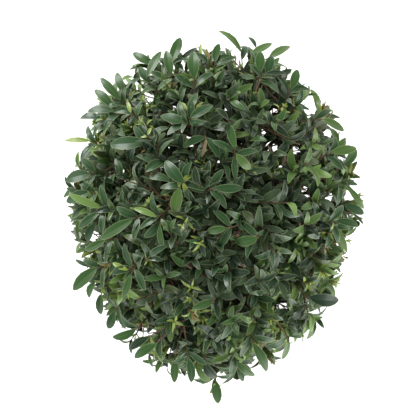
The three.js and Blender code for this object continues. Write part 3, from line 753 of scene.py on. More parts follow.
class Limb:
    """A tapering limb: places along its middle line, and the radius at each."""

    def __init__(self, places, radii):
        self.places = places
        self.radii = radii

    @classmethod
    def arched(cls, start, turn, end, first, last, steps, curve=1.0):
        """A limb along an arch from a start, towards a turn, to an end."""
        shares = [i / steps for i in range(steps + 1)]
        places = [start * (1 - t) ** 2 + turn * (2 * t * (1 - t)) + end * (t * t) for t in shares]
        return cls(places, [lerp(first, last, t**curve) for t in shares])

    def at(self, share):
        """The place at a share of the limb."""
        step = min(max(share, 0), 0.9999) * (len(self.places) - 1)
        index = int(step)
        return lerp(self.places[index], self.places[index + 1], step - index)

    def heading(self, share):
        """The limb's direction at a share of it."""
        return (self.at(min(1, share + 0.08)) - self.at(max(0, share - 0.08))).normalized()

    def length(self):
        """The limb's length along its middle line."""
        return sum((b - a).length for a, b in zip(self.places, self.places[1:]))


def bough_limbs(limbs, soil, hubs):
    """The boughs by their mass's number. The lowest hub has the lowest bough."""
    order = sorted(range(1, len(hubs)), key=lambda i: hubs[i].z)
    boughs = {}
    for place, index in enumerate(order):
        share = place / (len(order) - 1)
        hub = hubs[index]
        start = trunk_middle(limbs, soil, lerp(limbs.bough_lowest, limbs.bough_highest, share))
        elbow = lerp(start, hub, limbs.bough_elbow) + UP * limbs.bough_arch
        tip = hub + (elbow - hub).normalized() * limbs.bough_shortfall
        foot = limbs.bough_foot * lerp(1, limbs.bough_thinning, share)
        boughs[index] = Limb.arched(
            start, elbow, tip, foot, limbs.bough_tip, steps=30, curve=limbs.taper_curve
        )
    return boughs


class Camera:
    """The photograph's viewpoint: where the camera stands and what pixel a place falls on."""

    def __init__(self, stage, crown):
        self.back = Vector((0, -math.cos(stage.elevation), math.sin(stage.elevation)))
        self.right = ACROSS
        self.up = self.back.cross(self.right)
        distance = stage.lens * IMAGE_SIDE * stage.pixel / SENSOR_WIDTH
        shift = self.up * stage.below - self.right * stage.aside
        aim = Vector((0, 0, crown.level)) + shift * stage.pixel
        self.place = aim + self.back * distance
        self.scale = distance / stage.pixel

    def pixel(self, point):
        """Column and row of a place in the photograph's frame."""
        away = point - self.place
        depth = -away.dot(self.back)
        column = IMAGE_SIDE / 2 + away.dot(self.right) / depth * self.scale
        return column, IMAGE_SIDE / 2 - away.dot(self.up) / depth * self.scale

    def spot(self, column, row, depth):
        """The place that a pixel shows at a distance straight ahead of the camera."""
        aside = self.right * (column - IMAGE_SIDE / 2) + self.up * (IMAGE_SIDE / 2 - row)
        return self.place + (aside / self.scale - self.back) * depth

    def depth_of_crown(self, crown, column, row, reach):
        """Distance ahead, in whole millimetres, at which a pixel's line of sight meets the crown.

        A line that passes beside the crown ends a little above its widest place.
        """
        lowest = crown.level + 0.012
        for millimetres in range(500, 1300):
            depth = millimetres * 0.001
            point = self.spot(column, row, depth)
            if crown_reach(crown, point) <= reach or point.z < lowest:
                return depth
        raise RuntimeError("a pixel's line of sight misses the crown")


class Leaf:
    """One leaf: where it springs from, how it lies, its size and its kind."""

    def __init__(self, root, along, face, length, width, kind, fold, bow, twist, sway):
        self.root = root
        self.along = along
        self.face = (face - along * face.dot(along)).normalized()
        self.length = length
        self.width = width
        self.kind = kind
        self.fold = fold
        self.bow = bow
        self.twist = twist
        self.sway = sway

    def middle(self):
        """The middle of the blade."""
        return self.root + self.along * (self.length * 0.55)

    def tip(self):
        """The far end of the blade."""
        return self.root + self.along * self.length


# Radii of a twig at its foot and at its end
BRANCHLET_RADII = (0.0019, 0.0010)
SHOOT_RADII = (0.00095, 0.0005)
NEW_TWIG_RADII = (0.0006, 0.0004)

# How far a twig starts inside the limb that bears it
STEM_OVERLAP = 0.004
NEW_TWIG_OVERLAP = 0.002

# How far a branchlet may bend aside from a gap: straight first, then further and further
BENDS = (0, 0.008, -0.008, 0.016, -0.016, 0.024, -0.024)

# Steps from fork to fork of a branchlet, and how many of the nearest forks a shoot tries
FORK_STEPS = 20
FORKS_TRIED = 10

# How far out things grow, as shares of the way from the crown's middle to its clipped surface
BRANCHLET_REACH = 0.84
SHOOT_REACH = 0.9
EAGER_REACH = 0.955
MARKED_REACH = 0.96

# Kinds of spray from the darkest to the palest, each with the deal that it is given below
SPRAY_DEALS = (("dark", 0.44), ("leafy", 0.72), ("green", 0.88), ("mid", 1.08), ("fresh", 2))

# Kinds of young leaf, which grow at the tips
YOUNG_KINDS = ("lime", "bronze")

# Pairs of leaves down a shoot: size, splay in degrees, and the distance to the next pair
LEAF_PAIRS = (
    (0.74, 34, 0.0052),
    (0.96, 48, 0.0066),
    (1.04, 57, 0.0080),
    (1.0, 64, 0.0088),
    (0.94, 70, 0.0095),
)

# Pairs of leaves up a young tip: place along it, splay in degrees, and size
YOUNG_PAIRS = ((0.3, 58, 0.44), (0.68, 44, 0.38), (1.0, 24, 0.3))

# Distance of the first pair from a shoot's tip, and of a leaf's root from its twig's middle line
FIRST_PAIR = 0.0006
STALK = 0.0003

# Length and width that are left to a leaf when it is trimmed at the clipped surface
TRIMMED_LENGTH = 0.84
TRIMMED_WIDTH = 0.9

# Half of a blade's width that closes a gap, as a share of the width, and how near the middle of a
# leaf may come to that of a marked one
CLOSING_SHARE = 0.34
MARKED_CLEARANCE = 0.008

# Pixels by which a shoot may be further from a pale spray's place for each metre that it is higher
HEIGHT_WORTH = 120


class Growth:
    """Twigs and leaves of the whole crown, grown once from the settings."""

    KINDS = "deep dark leafy cool olive green mid fresh lime bronze dry".split()

    def __init__(self, scene):
        self.crown = scene.bonsai_crown
        self.limbs = scene.bonsai_limbs
        self.leaf = scene.bonsai_leaf
        self.camera = Camera(scene.bonsai_stage, self.crown)
        self.pixel = scene.bonsai_stage.pixel
        self.chance = random.Random(self.crown.seed)
        self.hubs = mass_hubs(self.crown)
        self.boughs = bough_limbs(self.limbs, scene.bonsai_soil, self.hubs)
        self.old_twigs = []
        self.young_twigs = []
        self.new_twigs = []
        self.leaves = []
        self.marked = []
        self.clip = self.crown.limit
        trunk_tip = trunk_middle(self.limbs, scene.bonsai_soil, self.limbs.tip_level)
        self.grow_stems(trunk_tip)
        self.grow_branchlets()
        self.grow_marked_leaves()
        self.grow_shoots()

    def scatter(self, amount):
        """A small vector in any direction."""
        return Vector([self.chance.gauss(0, amount) for unused in range(3)])

    def gaps_beside(self, start, end):
        """How far along a straight piece each gap lies, and how many pixels clear of it."""
        foot, tip = np.array(self.camera.pixel(start)), np.array(self.camera.pixel(end))
        away, line = SKY_GAPS[:, :2] - foot, tip - foot
        shares = np.clip(away @ line / max(line @ line, 1e-6), 0, 1)
        return shares, np.linalg.norm(away - shares[:, None] * line, axis=1) - SKY_GAPS[:, 2]

    def covers_gap(self, leaf):
        """Whether a blade lies over a place where the sky shows through the crown."""
        shares, clearances = self.gaps_beside(leaf.root, leaf.tip())
        half = leaf.width * CLOSING_SHARE / self.pixel
        return bool((clearances < half * np.sin(np.pi * np.clip(shares, 0.12, 0.9)) ** 0.6).any())

    def gaps_crossed(self, limb):
        """How many gaps a twig runs across."""
        crossed = np.zeros(len(SKY_GAPS), bool)
        for start, end, radius in zip(limb.places, limb.places[1:], limb.radii):
            crossed |= self.gaps_beside(start, end)[1] < radius / self.pixel
        return crossed.sum()

    def in_gap(self, point):
        """Whether the sky shows through the crown at a place."""
        column, row = self.camera.pixel(point)
        return any(math.hypot(column - x, row - y) < radius for x, y, radius in SKY_GAPS)

    def grow_stems(self, trunk_tip):
        """Carries the trunk's tip and each bough on to the hub of its mass."""
        ends = {0: (trunk_tip, UP, self.limbs.tip_radius)}
        for index, bough in self.boughs.items():
            ends[index] = (bough.places[-1], bough.heading(1), bough.radii[-1])
        for index, (tip, heading, radius) in ends.items():
            hub = self.hubs[index]
            start = tip - heading * STEM_OVERLAP
            turn = tip + heading * ((hub - tip).length * 0.5)
            self.old_twigs.append(Limb.arched(start, turn, hub, radius, radius * 0.62, steps=8))

    def grow_branchlets(self):
        """Twigs from each hub out to the surface of its mass, and the forks along them."""
        branchlets = []
        for way in spread(self.crown.branchlets, -0.9):
            tip = crown_point(self.crown, way, BRANCHLET_REACH)
            hub = min(self.hubs, key=lambda place: (place - tip).length)
            turn = lerp(hub, tip, 0.5) + self.scatter(0.006) + UP * 0.004
            branchlets.append(self.clear_branchlet(hub, turn, tip))
        self.old_twigs += branchlets
        shares = [step / FORK_STEPS for step in range(2, FORK_STEPS)]
        self.forks = [(limb, share) for limb in branchlets for share in shares]
        self.tree = KDTree(len(self.forks))
        for number, (limb, share) in enumerate(self.forks):
            self.tree.insert(limb.at(share), number)
        self.tree.balance()

    def clear_branchlet(self, hub, turn, tip):
        """A branchlet that bends aside where it would run across the sky in a gap."""
        along = (tip - hub).normalized()
        side = along.cross(UP if abs(along.z) < 0.9 else ACROSS).normalized()
        turns = [turn + side * bend for bend in BENDS]
        limbs = [Limb.arched(hub, bent, tip, *BRANCHLET_RADII, steps=10) for bent in turns]
        return min(limbs, key=self.gaps_crossed)

    def fork_towards(self, tip, heading, length):
        """A shoot that reaches a tip in a given heading, from a near fork that is clear of gaps."""
        wish = tip - heading * length + self.scatter(0.003)
        shoots = []
        for start, number, unused in self.tree.find_n(wish, FORKS_TRIED):
            limb, share = self.forks[number]
            away = (tip - start).length
            leaving = start + limb.heading(share) * (away * 0.3)
            turn = lerp(leaving, tip - heading * (away * 0.45), 0.7)
            shoots.append(Limb.arched(start, turn, tip, *SHOOT_RADII, steps=8))
        return min(shoots, key=self.gaps_crossed)

    def grow_shoots(self):
        """Leafy shoots all over the surface, each dealt its kind. Fewer grow underneath."""
        plans = []
        for way in spread(self.crown.shoots, -0.93):
            way = (way + self.scatter(0.035)).normalized()
            if way.z < -0.35 and self.chance.random() < 0.3:
                continue
            eager = self.chance.random() < 0.12
            reach = EAGER_REACH if eager else SHOOT_REACH - 0.25 * self.chance.random() ** 1.5
            tip = crown_point(self.crown, way, reach)
            if self.in_gap(tip):
                continue
            outward = crown_outward(self.crown, tip)
            heading = (outward + UP * 0.22 + self.scatter(0.30)).normalized()
            plans.append([tip, heading, *self.deal_kinds(abs(way.z))])
        for column, row, kind in PALE_SPRAYS:
            self.deal_spray(plans, column, row, kind)
        for plan in plans:
            self.grow_shoot(*plan)

    def deal_kinds(self, steepness):
        """A shoot's kind, and that of its young tip if it has one. Paler kinds are dealt at the rim
        and darker ones on top: painted light, lighter at the sides and darker on top.
        """
        # Painted light: the deal rises as a shoot stands out at the side, so the rim gets paler
        # kinds and the top gets darker ones.
        deal = self.chance.random() + min(0.37, 1.5 * (0.79 - steepness))
        deal += 0.3 * max(0, 0.35 - steepness)
        kind = next(name for name, bound in SPRAY_DEALS if deal < bound)
        young = self.chance.random()
        rim = 1 - steepness
        if young < 0.1 + 0.1 * rim:
            return kind, "lime"
        return kind, "bronze" if young < 0.13 + 0.2 * rim else None

    def deal_spray(self, plans, column, row, kind):
        """Gives the topmost shoot at a place in the photograph its own kind."""

        def distance(plan):
            x, y = self.camera.pixel(plan[0] + plan[1] * 0.008)
            height = plan[0].z - self.crown.level
            return math.hypot(x - column, y - row) - HEIGHT_WORTH * height

        plan = min(plans, key=distance)
        plan[3 if kind in YOUNG_KINDS else 2] = kind

    def grow_shoot(self, tip, heading, kind, young):
        """One shoot with its opposite pairs of leaves, each pair turned across the one below it."""
        limb = self.fork_towards(tip, heading, self.crown.shoot_length)
        self.young_twigs.append(limb)
        self.clip = self.crown.limit + self.chance.uniform(-1, 1) * self.crown.raggedness
        length = limb.length()
        rising = max(0, heading.z)
        upright = 1 - 0.16 * rising
        front = 1 - 0.13 * max(0, -tip.y / self.crown.half_depth)
        first = turn = self.chance.uniform(0, math.pi)
        back = FIRST_PAIR
        for pair, (grown, degrees, gap) in enumerate(LEAF_PAIRS):
            if back > length * 0.86:
                break
            share = 1 - back / length
            grown = grown * (1 - 0.1 * rising) * front
            splay = math.radians(degrees + self.chance.gauss(0, 8)) * upright
            # Pairs further down a shoot stand deeper in the crown and take the kinds dark and then
            # deep in place of their own. This is painted shade on the next pair in, and on the
            # inner pairs a paler colour painted to lift the shade there.
            shade = kind if pair < 2 else ("dark" if pair < 3 and kind != "dark" else "deep")
            self.grow_pair(limb.at(share), limb.heading(share), turn, splay, grown, shade)
            turn += math.pi / 2 + self.chance.gauss(0, 0.2)
            back += gap
        if young:
            self.grow_young_tip(limb, young, first + math.pi / 2)

    def grow_young_tip(self, limb, kind, turn):
        """A soft new tip of small upright leaves beyond a shoot's last grown pair."""
        start, heading = limb.places[-1], limb.heading(1)
        heading = (heading + UP * 0.3).normalized()
        end = start + heading * self.chance.uniform(0.008, 0.013)
        if crown_reach(self.crown, end) > self.clip - 0.03:
            return
        foot, middle = start - heading * NEW_TWIG_OVERLAP, lerp(start, end, 0.5)
        self.new_twigs.append(Limb.arched(foot, middle, end, *NEW_TWIG_RADII, steps=3))
        for share, degrees, grown in YOUNG_PAIRS:
            pair_kind = "lime" if share < 0.5 else kind
            place = lerp(start, end, share)
            self.grow_pair(place, heading, turn, math.radians(degrees), grown, pair_kind)
            turn += math.pi / 2

    def grow_pair(self, place, heading, turn, splay, grown, kind):
        """Two opposite leaves at a place on a shoot."""
        first = heading.cross(ACROSS if abs(heading.x) < 0.8 else ALONG).normalized()
        second = heading.cross(first)
        side = first * math.cos(turn) + second * math.sin(turn)
        flat = 1 - abs(heading.z)
        for sign in (1, -1):
            out = side * sign
            along = heading * math.cos(splay) + out * math.sin(splay)
            along = (along + UP * 0.05 + self.scatter(0.13)).normalized()
            along = (along - UP * (along.z * 0.75 * flat)).normalized()
            face = heading * math.sin(splay) - out * math.cos(splay)
            face = face * (0.85 - 0.4 * flat) + UP * (0.35 + 0.45 * flat) + self.scatter(0.34)
            length = self.leaf.length * grown * self.chance.triangular(0.68, 1.2, 1.02)
            leaf_kind = kind
            if kind in ("dark", "leafy"):
                deal = self.chance.random()
                leaf_kind = "cool" if deal < 0.1 else "olive" if deal < 0.1 + 0.36 * flat else kind
            self.add_leaf(place, along, face, length, leaf_kind)

    def add_leaf(self, place, along, face, length, kind):
        """Keeps a leaf that stays inside the clipped surface, off gaps and off marked leaves."""
        width = length * self.leaf.width_share * self.chance.uniform(0.86, 1.14)
        width *= 0.74 if kind in YOUNG_KINDS else 1.0
        fold = self.chance.triangular(0.1, 0.8, 0.32)
        bow = self.chance.triangular(0.04, 0.42, 0.16)
        twist, sway = self.chance.gauss(0, 0.4), self.chance.gauss(0, 0.07)
        root = place + along * STALK
        leaf = Leaf(root, along, face, length, width, kind, fold, bow, twist, sway)
        if crown_reach(self.crown, leaf.tip()) > self.clip:
            leaf.length *= TRIMMED_LENGTH
            leaf.width *= TRIMMED_WIDTH
            if crown_reach(self.crown, leaf.tip()) > self.clip + 0.005:
                return
        if self.covers_gap(leaf):
            return
        middle = leaf.middle()
        if any((middle - other.middle()).length < MARKED_CLEARANCE for other in self.marked):
            return
        self.leaves.append(leaf)

    def grow_marked_leaves(self):
        """The leaves that stand out in the photograph, each on a shoot of its own with a pair."""
        for column, row, tip_column, tip_row, kind, width_share in MARKED_LEAVES:
            depth = self.camera.depth_of_crown(self.crown, column, row, MARKED_REACH)
            root = self.camera.spot(column, row, depth)
            end = self.camera.spot(tip_column, tip_row, depth + 0.004)
            along = (end - root).normalized()
            length = (end - root).length
            width = length * width_share
            outward = crown_outward(self.crown, root)
            heading = (along * 0.3 + outward * 0.9).normalized()
            limb = self.fork_towards(root, heading, self.crown.shoot_length * 0.7)
            self.young_twigs.append(limb)
            face = outward * 0.5 + UP * 0.6
            fold, bow = self.chance.triangular(0.2, 0.6, 0.35), self.chance.uniform(0.06, 0.18)
            twist, sway = self.chance.gauss(0, 0.3), self.chance.gauss(0, 0.05)
            leaf = Leaf(root, along, face, length, width, kind, fold, bow, twist, sway)
            self.marked.append(leaf)
            side = along.cross(face).normalized()
            lean = (along * 0.7 + outward * 0.3).normalized()
            back = limb.at(0.82)
            for sign in (1, -1):
                aside = (lean * 0.6 + side * (0.7 * sign)).normalized()
                tilted = face - side * (0.3 * sign)
                self.add_leaf(back, aside, tilted, self.leaf.length * 0.9, "leafy")
        self.leaves += self.marked


# Places along a blade at which it has corners, as shares of its length
STATIONS = (0.06, 0.22, 0.45, 0.69, 0.88, 0.975)

# Numbers of a leaf's finishes, in the order in which leaf_finishes makes them
BLADE, EDGE, RIB, UNDERSIDE = range(4)


def leaf_pattern():
    """The faces of a blade, strip by strip from its root to its tip, and the finish of each."""
    columns = 6
    root, tip = 0, 1
    last = len(STATIONS) - 1

    def corner(station, column):
        return 2 + station * (columns + 1) + column

    strips = [(i, i + 1, finish) for i, finish in enumerate((EDGE, BLADE, RIB, BLADE, EDGE))]
    strips += [(columns - 1, columns, UNDERSIDE), (columns, 0, UNDERSIDE)]
    faces, finishes = [], []
    for left, right, finish in strips:
        faces.append((root, corner(0, right), corner(0, left)))
        for low in range(last):
            high = low + 1
            ring = ((low, left), (low, right), (high, right), (high, left))
            faces.append(tuple(corner(station, column) for station, column in ring))
        faces.append((tip, corner(last, left), corner(last, right)))
        finishes += [finish] * (last + 2)
    return faces, finishes


def leaf_points(leaves, settings):
    """The corners of many blades at once: root, tip, then seven for each station."""

    def places(name):
        return np.array([tuple(getattr(leaf, name)) for leaf in leaves])

    def measures(name):
        return np.array([getattr(leaf, name) for leaf in leaves])[:, None]

    root, along, face = places("root"), places("along"), places("face")
    across = np.cross(face, along)
    length, width, fold = measures("length"), measures("width"), measures("fold")
    bow, twist, sway = measures("bow"), measures("twist"), measures("sway")

    def arch(share):
        return bow * length * (1.6 * share * (1 - share) - 0.9 * share * share * share)

    def point(share, side, lift):
        turn = twist * (share - 0.25)
        drift = sway * length * share * (1 - share) * 4
        middle = root + along * (length * share) + across * drift
        sideways = across * np.cos(turn) + face * np.sin(turn)
        upwards = face * np.cos(turn) - across * np.sin(turn)
        return middle + face * arch(share) + sideways * side + upwards * lift

    corners = [point(0.0, 0.0, 0.0), point(1.0, 0.0, 0.0)]
    for share in STATIONS:
        half = width / 2 * math.sin(math.pi * share**1.04) ** 0.58
        edge = np.minimum(settings.margin, half * 0.35)
        rib = np.minimum(settings.rib, half * 0.2)
        for side in (-half, -half + edge, -rib, rib, half - edge, half):
            lift = fold * np.abs(side) - 0.45 * fold * side * side / half
            corners.append(point(share, side, lift))
        corners.append(point(share, 0.0, -settings.thickness))
    return np.stack(corners, axis=1)


def tube_mesh(limbs, sides):
    """Corners and faces of many thin round twigs, closed at both ends."""
    points, faces = [], []
    for limb in limbs:
        base = len(points)
        heading = (limb.places[1] - limb.places[0]).normalized()
        reference = UP if abs(heading.z) < 0.8 else ALONG
        first = heading.cross(reference).normalized()
        last = len(limb.places) - 1
        for step, (place, radius) in enumerate(zip(limb.places, limb.radii)):
            ahead = limb.places[min(step + 1, last)] - limb.places[max(step - 1, 0)]
            ahead.normalize()
            first = (first - ahead * first.dot(ahead)).normalized()
            second = ahead.cross(first)
            for side in range(sides):
                turn = 2 * math.pi * side / sides
                points.append(place + (first * math.cos(turn) + second * math.sin(turn)) * radius)
        for step in range(last):
            ring = base + step * sides
            for side in range(sides):
                low, next_low = ring + side, ring + (side + 1) % sides
                faces.append((low, next_low, next_low + sides, low + sides))
        faces.append(tuple(base + side for side in reversed(range(sides))))
        faces.append(tuple(base + last * sides + side for side in range(sides)))
    return points, faces


def joined_piece(name, points, faces):
    """A piece of many like shapes joined in one mesh."""
    clear_selection()
    mesh = bpy.data.meshes.new(name)
    mesh.from_pydata([tuple(point) for point in points], [], faces)
    mesh.update()
    piece = bpy.data.objects.new(name, mesh)
    bpy.context.scene.collection.objects.link(piece)
    return piece


def bark_limb(name, sides, rings, shape):
    """A limb of bark: a cylinder, cut into rings, whose corners a rule moves to their places."""
    clear_selection()
    bpy.ops.mesh.primitive_cylinder_add(vertices=sides, radius=1, depth=1, end_fill_type="NGON")
    limb = bpy.context.object
    limb.name = limb.data.name = name
    bpy.ops.object.mode_set(mode="EDIT")
    bpy.ops.mesh.select_mode(type="EDGE")
    bpy.ops.mesh.select_all(action="DESELECT")
    bpy.ops.object.mode_set(mode="OBJECT")
    corners = limb.data.vertices
    for edge in limb.data.edges:
        low, high = (corners[i].co.z for i in edge.vertices)
        edge.select = abs(high - low) > 0.5
    bpy.ops.object.mode_set(mode="EDIT")
    bpy.ops.mesh.subdivide(number_cuts=rings - 1)
    bpy.ops.object.mode_set(mode="OBJECT")
    for corner in limb.data.vertices:
        corner.co = shape(corner.co.z + 0.5, math.atan2(corner.co.y, corner.co.x))
    limb.data.update()
    return limb


def smooth(piece, angle):
    """Smooth shading that keeps edges sharper than an angle in degrees."""
    take(piece)
    bpy.ops.object.shade_smooth_by_angle(angle=math.radians(angle))


class BONSAI_OT_pot(Operator):
    """Turn the oval clay pot and cut its drain holes"""

    bl_idname = "bonsai.pot"
    bl_label = "Clay Pot"

    def execute(self, context):
        pot = context.scene.bonsai_pot
        stretch = pot.width / pot.length
        vessel = turned_oval("clay_pot", pot_profile(pot), stretch, segments=128)
        for side in (-1, 1):
            clear_selection()
            bpy.ops.mesh.primitive_cylinder_add(
                vertices=40,
                radius=pot.drain_radius,
                depth=pot.floor * 3,
                location=(0, side * pot.drain_offset, pot.floor / 2),
            )
            drain = context.object
            apply_modifier(vessel, "BOOLEAN", operation="DIFFERENCE", solver="EXACT", object=drain)
            bpy.data.objects.remove(drain)
        apply_modifier(
            vessel,
            "BEVEL",
            width=0.0006,
            segments=2,
            limit_method="ANGLE",
            angle_limit=math.radians(28),
            use_clamp_overlap=True,
        )
        smooth(vessel, angle=40)
        put_on(vessel, [clay_finish(pot)], "pot_clay", "pot")
        return {"FINISHED"}


# Grit: its own seed, how far it keeps from the wall, how far it may lie under the trunk, how high a
# grain stands as a share of its radius, its breadth and height against its length, and how often
# each of the three stones is dealt
GRIT_SEED = 5
GRIT_MARGIN = 0.003
GRIT_UNDER_TRUNK = 0.001
GRIT_STAND = 0.25
GRIT_BREADTH = 0.85
GRIT_HEIGHT = 0.75
STONE_SHARES = (5, 2, 3)


class BONSAI_OT_soil(Operator):
    """Fill the pot with soil and strew the grit over it"""

    bl_idname = "bonsai.soil"
    bl_label = "Soil and Grit"

    def execute(self, context):
        scene = context.scene
        soil, pot, limbs = scene.bonsai_soil, scene.bonsai_pot, scene.bonsai_limbs
        stretch = pot.width / pot.length
        heap = turned_oval("soil_heap", soil_rings(soil, pot), stretch, segments=112)
        relief(heap, "soil_lumps", "CLOUDS", scale=0.006, strength=0.0011)
        smooth(heap, angle=60)
        put_on(heap, [earth_finish(soil)], "soil_mix", "soil")
        self.strew(soil, pot, limbs, stretch)
        return {"FINISHED"}

    def strew(self, soil, pot, limbs, stretch):
        """Grains of three stones, each half sunk in the surface."""
        clear_selection()
        bpy.ops.mesh.primitive_ico_sphere_add(subdivisions=1, radius=1)
        pebble = bpy.context.object
        corners = [corner.co.copy() for corner in pebble.data.vertices]
        sides = [tuple(face.vertices) for face in pebble.data.polygons]
        bpy.data.objects.remove(pebble)
        chance = random.Random(GRIT_SEED)
        edge = wall_radius(pot, soil.level) - pot.wall - GRIT_MARGIN
        points, faces, stones = [], [], []
        for unused in range(soil.grains):
            turn, share = chance.uniform(0, 2 * math.pi), math.sqrt(chance.uniform(0.03, 1))
            x, y = edge * stretch * share * math.cos(turn), edge * share * math.sin(turn)
            trunk = trunk_radius(limbs, soil, soil.level, math.atan2(y, x))
            if math.hypot(x, y) < trunk - GRIT_UNDER_TRUNK:
                continue
            radius = soil.grain * chance.uniform(0.35, 1) ** 1.3
            spin_angle = chance.uniform(0, 6.28)
            spin_axis = Vector([chance.gauss(0, 1) for unused in range(3)])
            spin = Matrix.Rotation(spin_angle, 3, spin_axis)
            middle = Vector((x, y, soil_level(soil, share) + GRIT_STAND * radius))
            base = len(points)
            for corner in corners:
                knock = chance.uniform(0.75, 1.15)
                squashed = Vector((corner.x, corner.y * GRIT_BREADTH, corner.z * GRIT_HEIGHT))
                points.append(middle + spin @ (squashed * (radius * knock)))
            faces += [tuple(base + i for i in side) for side in sides]
            stones += chance.choices((0, 1, 2), STONE_SHARES) * len(sides)
        grit = joined_piece("soil_grit", points, faces)
        finishes = [
            grain_finish("tan_grit", soil.tan_grain),
            grain_finish("grey_grit", soil.grey_grain),
            grain_finish("dark_grit", soil.dark_grain),
        ]
        put_on(grit, finishes, "soil_mix")
        grit.data.polygons.foreach_set("material_index", stones)
        smooth(grit, angle=35)


class BONSAI_OT_limbs(Operator):
    """Raise the trunk and its boughs, with the relief of their bark"""

    bl_idname = "bonsai.limbs"
    bl_label = "Trunk and Boughs"

    def execute(self, context):
        scene = context.scene
        limbs, soil = scene.bonsai_limbs, scene.bonsai_soil
        bark = bark_finish(limbs)
        sunk = soil.level - 0.002

        def trunk_shape(share, angle):
            level = lerp(sunk, limbs.tip_level, share**1.25)
            radius = trunk_radius(limbs, soil, level, angle)
            rim = Vector((math.cos(angle), math.sin(angle), 0)) * radius
            return trunk_middle(limbs, soil, level) + rim

        trunk = bark_limb("trunk_bark", sides=64, rings=150, shape=trunk_shape)
        relief(trunk, "trunk_lumps", "CLOUDS", scale=0.016, strength=0.0022)
        relief(trunk, "trunk_scales", "VORONOI", scale=0.007, strength=0.0011)
        relief(trunk, "trunk_grain", "CLOUDS", scale=0.003, strength=0.0006)
        smooth(trunk, angle=60)
        put_on(trunk, [bark], "bark", "trunk")
        hubs = mass_hubs(scene.bonsai_crown)
        for index, limb in bough_limbs(limbs, soil, hubs).items():
            self.raise_bough(index, limb, bark)
        return {"FINISHED"}

    def raise_bough(self, index, limb, bark):
        """One bough, with a swollen collar where it leaves the trunk."""
        last = len(limb.radii) - 1
        collar_height = 0.011

        def bough_shape(share, angle):
            heading = limb.heading(share)
            side = heading.cross(UP).normalized()
            radius = limb.radii[min(last, round(share * last))]
            radius *= 1 + 0.45 * math.exp(-share * limb.length() / collar_height)
            rim = side * math.cos(angle) + side.cross(heading) * math.sin(angle)
            return limb.at(share) + rim * radius

        bough = bark_limb(f"bough_bark_{index:02d}", sides=18, rings=60, shape=bough_shape)
        relief(bough, "bough_lumps", "CLOUDS", scale=0.009, strength=0.0011)
        relief(bough, "bough_scales", "VORONOI", scale=0.004, strength=0.0005)
        take(bough)
        bpy.ops.object.mode_set(mode="EDIT")
        face_outwards()
        smooth(bough, angle=60)
        put_on(bough, [bark], "bark", f"bough_{index:02d}")


class BONSAI_OT_foliage(Operator):
    """Grow the twigs and leaves of every mass of foliage"""

    bl_idname = "bonsai.foliage"
    bl_label = "Twigs and Leaves"

    def execute(self, context):
        scene = context.scene
        growth = Growth(scene)
        limbs, settings = scene.bonsai_limbs, scene.bonsai_leaf
        twig_kinds = (
            ("twigs_old", growth.old_twigs, 7, limbs.old_twig),
            ("twigs_young", growth.young_twigs, 5, limbs.young_twig),
            ("twigs_new", growth.new_twigs, 5, limbs.new_twig),
        )
        for name, twigs, sides, colour in twig_kinds:
            piece = joined_piece(name, *tube_mesh(twigs, sides))
            smooth(piece, angle=60)
            put_on(piece, [twig_finish(name, colour)], "bark", *FOLIAGE_NODES)
        for kind in growth.KINDS:
            leaves = [leaf for leaf in growth.leaves if leaf.kind == kind]
            self.join_leaves(kind, leaves, settings)
        return {"FINISHED"}

    def join_leaves(self, kind, leaves, settings):
        """The leaves of one kind, joined into pieces that stay under the limit."""
        blade_faces, blade_finishes = leaf_pattern()
        triangles = sum(len(face) - 2 for face in blade_faces)
        most = PIECE_LIMIT // triangles
        finishes = leaf_finishes(kind, getattr(settings, kind))
        for number, first in enumerate(range(0, len(leaves), most), start=1):
            part = leaves[first : first + most]
            corners = leaf_points(part, settings)
            bases = range(0, corners.shape[0] * corners.shape[1], corners.shape[1])
            faces = [tuple(base + c for c in face) for base in bases for face in blade_faces]
            piece = joined_piece(f"leaves_{kind}_{number}", corners.reshape(-1, 3), faces)
            put_on(piece, finishes, "foliage", *FOLIAGE_NODES)
            piece.data.polygons.foreach_set("material_index", blade_finishes * len(part))
            smooth(piece, angle=62)


